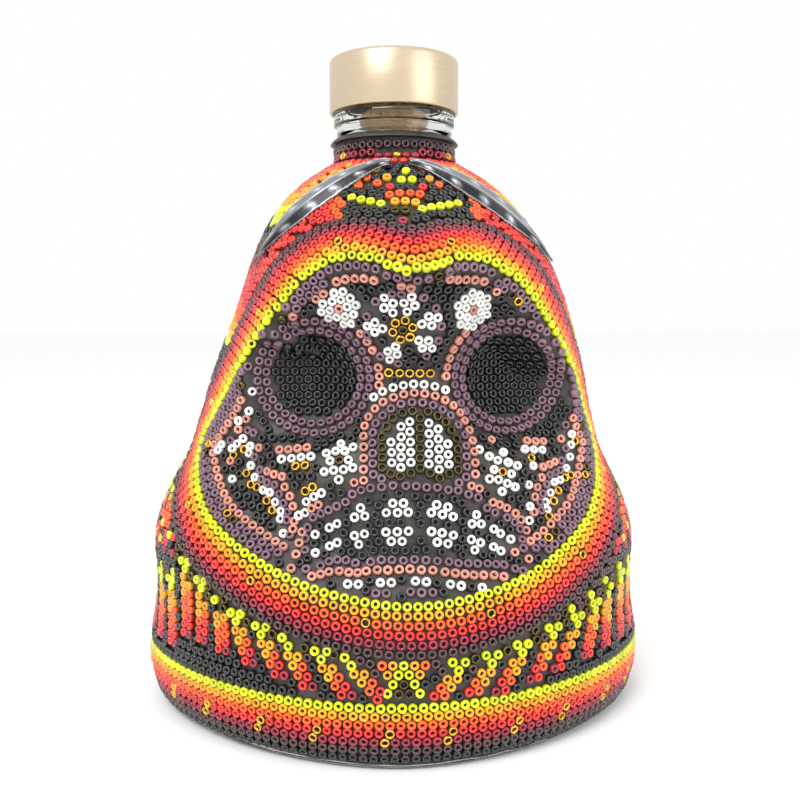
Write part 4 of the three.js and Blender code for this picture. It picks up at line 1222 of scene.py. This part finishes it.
def make_strip(node):
    """One embossed metal leaf that stands a little off the beads."""
    line_points = [Vector(p) for p in strip_route(node)]
    bm = bmesh.new()
    bmesh.ops.create_grid(bm, x_segments=STRIP_LENGTH_STEPS, y_segments=STRIP_WIDTH_STEPS, size=1)
    # This layer holds painted light, not only the embossing's height.
    painted_light_layer = bm.verts.layers.float.new("relief")
    shape_dice = random.Random(SEED)
    nicks = [shape_dice.uniform(-1, 1) for _ in range(STRIP_LENGTH_STEPS * 2)]
    for vert in bm.verts:
        share = (vert.co.x + 1) / 2
        across = vert.co.y
        at = share * (len(line_points) - 1)
        index = min(len(line_points) - 2, int(at))
        point = line_points[index].lerp(line_points[index + 1], at - index)
        ahead = (line_points[index + 1] - line_points[index]).normalized()
        _, normal = seat(point)
        normal = (normal + Vector((0, -0.8, 0.24))).normalized()
        aside = ahead.cross(normal).normalized()
        nearby = nicks[int(share * (STRIP_LENGTH_STEPS - 1)) * 2 + (across > 0)]
        nick = 1 + 0.07 * nearby * (abs(across) > 0.9)
        height = leaf_relief(share, across)
        arch = 0.34 * leaf_width(share) * (1 - abs(across))
        vert.co = point + aside * across * leaf_width(share) * nick + normal * (arch + height * 0.35 * MM)
        # Painted light: the raised embossing and the half of the fold that faces up are lighter, as painted
        # highlights. The hollows and the half that faces down are darker, as painted shade.
        vert[painted_light_layer] = 0.35 + 0.65 * height if (aside.z > 0) == (across > 0) else 0.6 * height
    made = bmesh.ops.extrude_face_region(bm, geom=bm.faces[:], use_keep_orig=True)
    for vert in made["geom"]:
        if isinstance(vert, bmesh.types.BMVert):
            vert.co += INWARDS * STRIP_THICKNESS
    bmesh.ops.recalc_face_normals(bm, faces=bm.faces)
    add_piece(f"{node}_leaf", bm, [tin_material()], "figure", [node])


# ---- stage
CAMERA_LENS = 42.75  # mm, on a sensor 36 mm wide
CAMERA_DISTANCE = 0.266
CAMERA_HEIGHT = 0.106
CAMERA_BEARING = math.radians(-2.5)


def make_camera():
    """A camera a little above the eyes of the figure."""
    lens = bpy.data.cameras.new("camera")
    lens.lens = CAMERA_LENS
    lens.sensor_width = 36
    lens.clip_start = 0.01
    camera = placed("camera", lens)
    aside = CAMERA_DISTANCE * math.sin(CAMERA_BEARING)
    camera.location = (aside, -CAMERA_DISTANCE * math.cos(CAMERA_BEARING), CAMERA_HEIGHT)
    camera.rotation_euler = (math.radians(90 - 5.5), 0, math.radians(-2.86))
    bpy.context.scene.camera = camera


def add_light(name, place, target, size, power):
    """A square soft box aimed at target."""
    data = bpy.data.lights.new(name, "AREA")
    data.shape = "SQUARE"
    data.size = size
    data.energy = power
    light = placed(name, data)
    light.location = place
    aim = Vector(target) - Vector(place)
    light.rotation_euler = aim.to_track_quat("-Z", "Y").to_euler()


def make_stage():
    """A pale floor, a bright sky and soft boxes."""
    bm = bmesh.new()
    bmesh.ops.create_grid(bm, x_segments=4, y_segments=4, size=4)
    mesh = mesh_from("floor", bm)
    mesh.materials.append(floor_material())
    floor = placed("floor", mesh)
    world = bpy.data.worlds.new("studio")
    world.use_nodes = True
    put(world.node_tree.nodes["Background"], "Color", (1, 1, 1, 1))
    put(world.node_tree.nodes["Background"], "Strength", 1.0)
    bpy.context.scene.world = world
    add_light("key", (-0.35, -0.6, 0.75), (0, 0, 0.08), 0.5, 6)
    add_light("fill", (0.6, -0.5, 0.35), (0, 0, 0.08), 0.5, 2)
    bpy.context.scene.view_settings.view_transform = "Standard"


# ---- making
make_camera()
make_stage()
HOOD_EDGE = node_tree("hood_course_brown")
make_courses()
make_eye_courses()
make_nose_and_lip_courses()
make_opening_courses()
make_face()
make_robe()
make_top()
make_glass_and_wax()
make_cap()
make_stopper_inside()
make_strip("left_hood_trim")
make_strip("right_hood_trim")
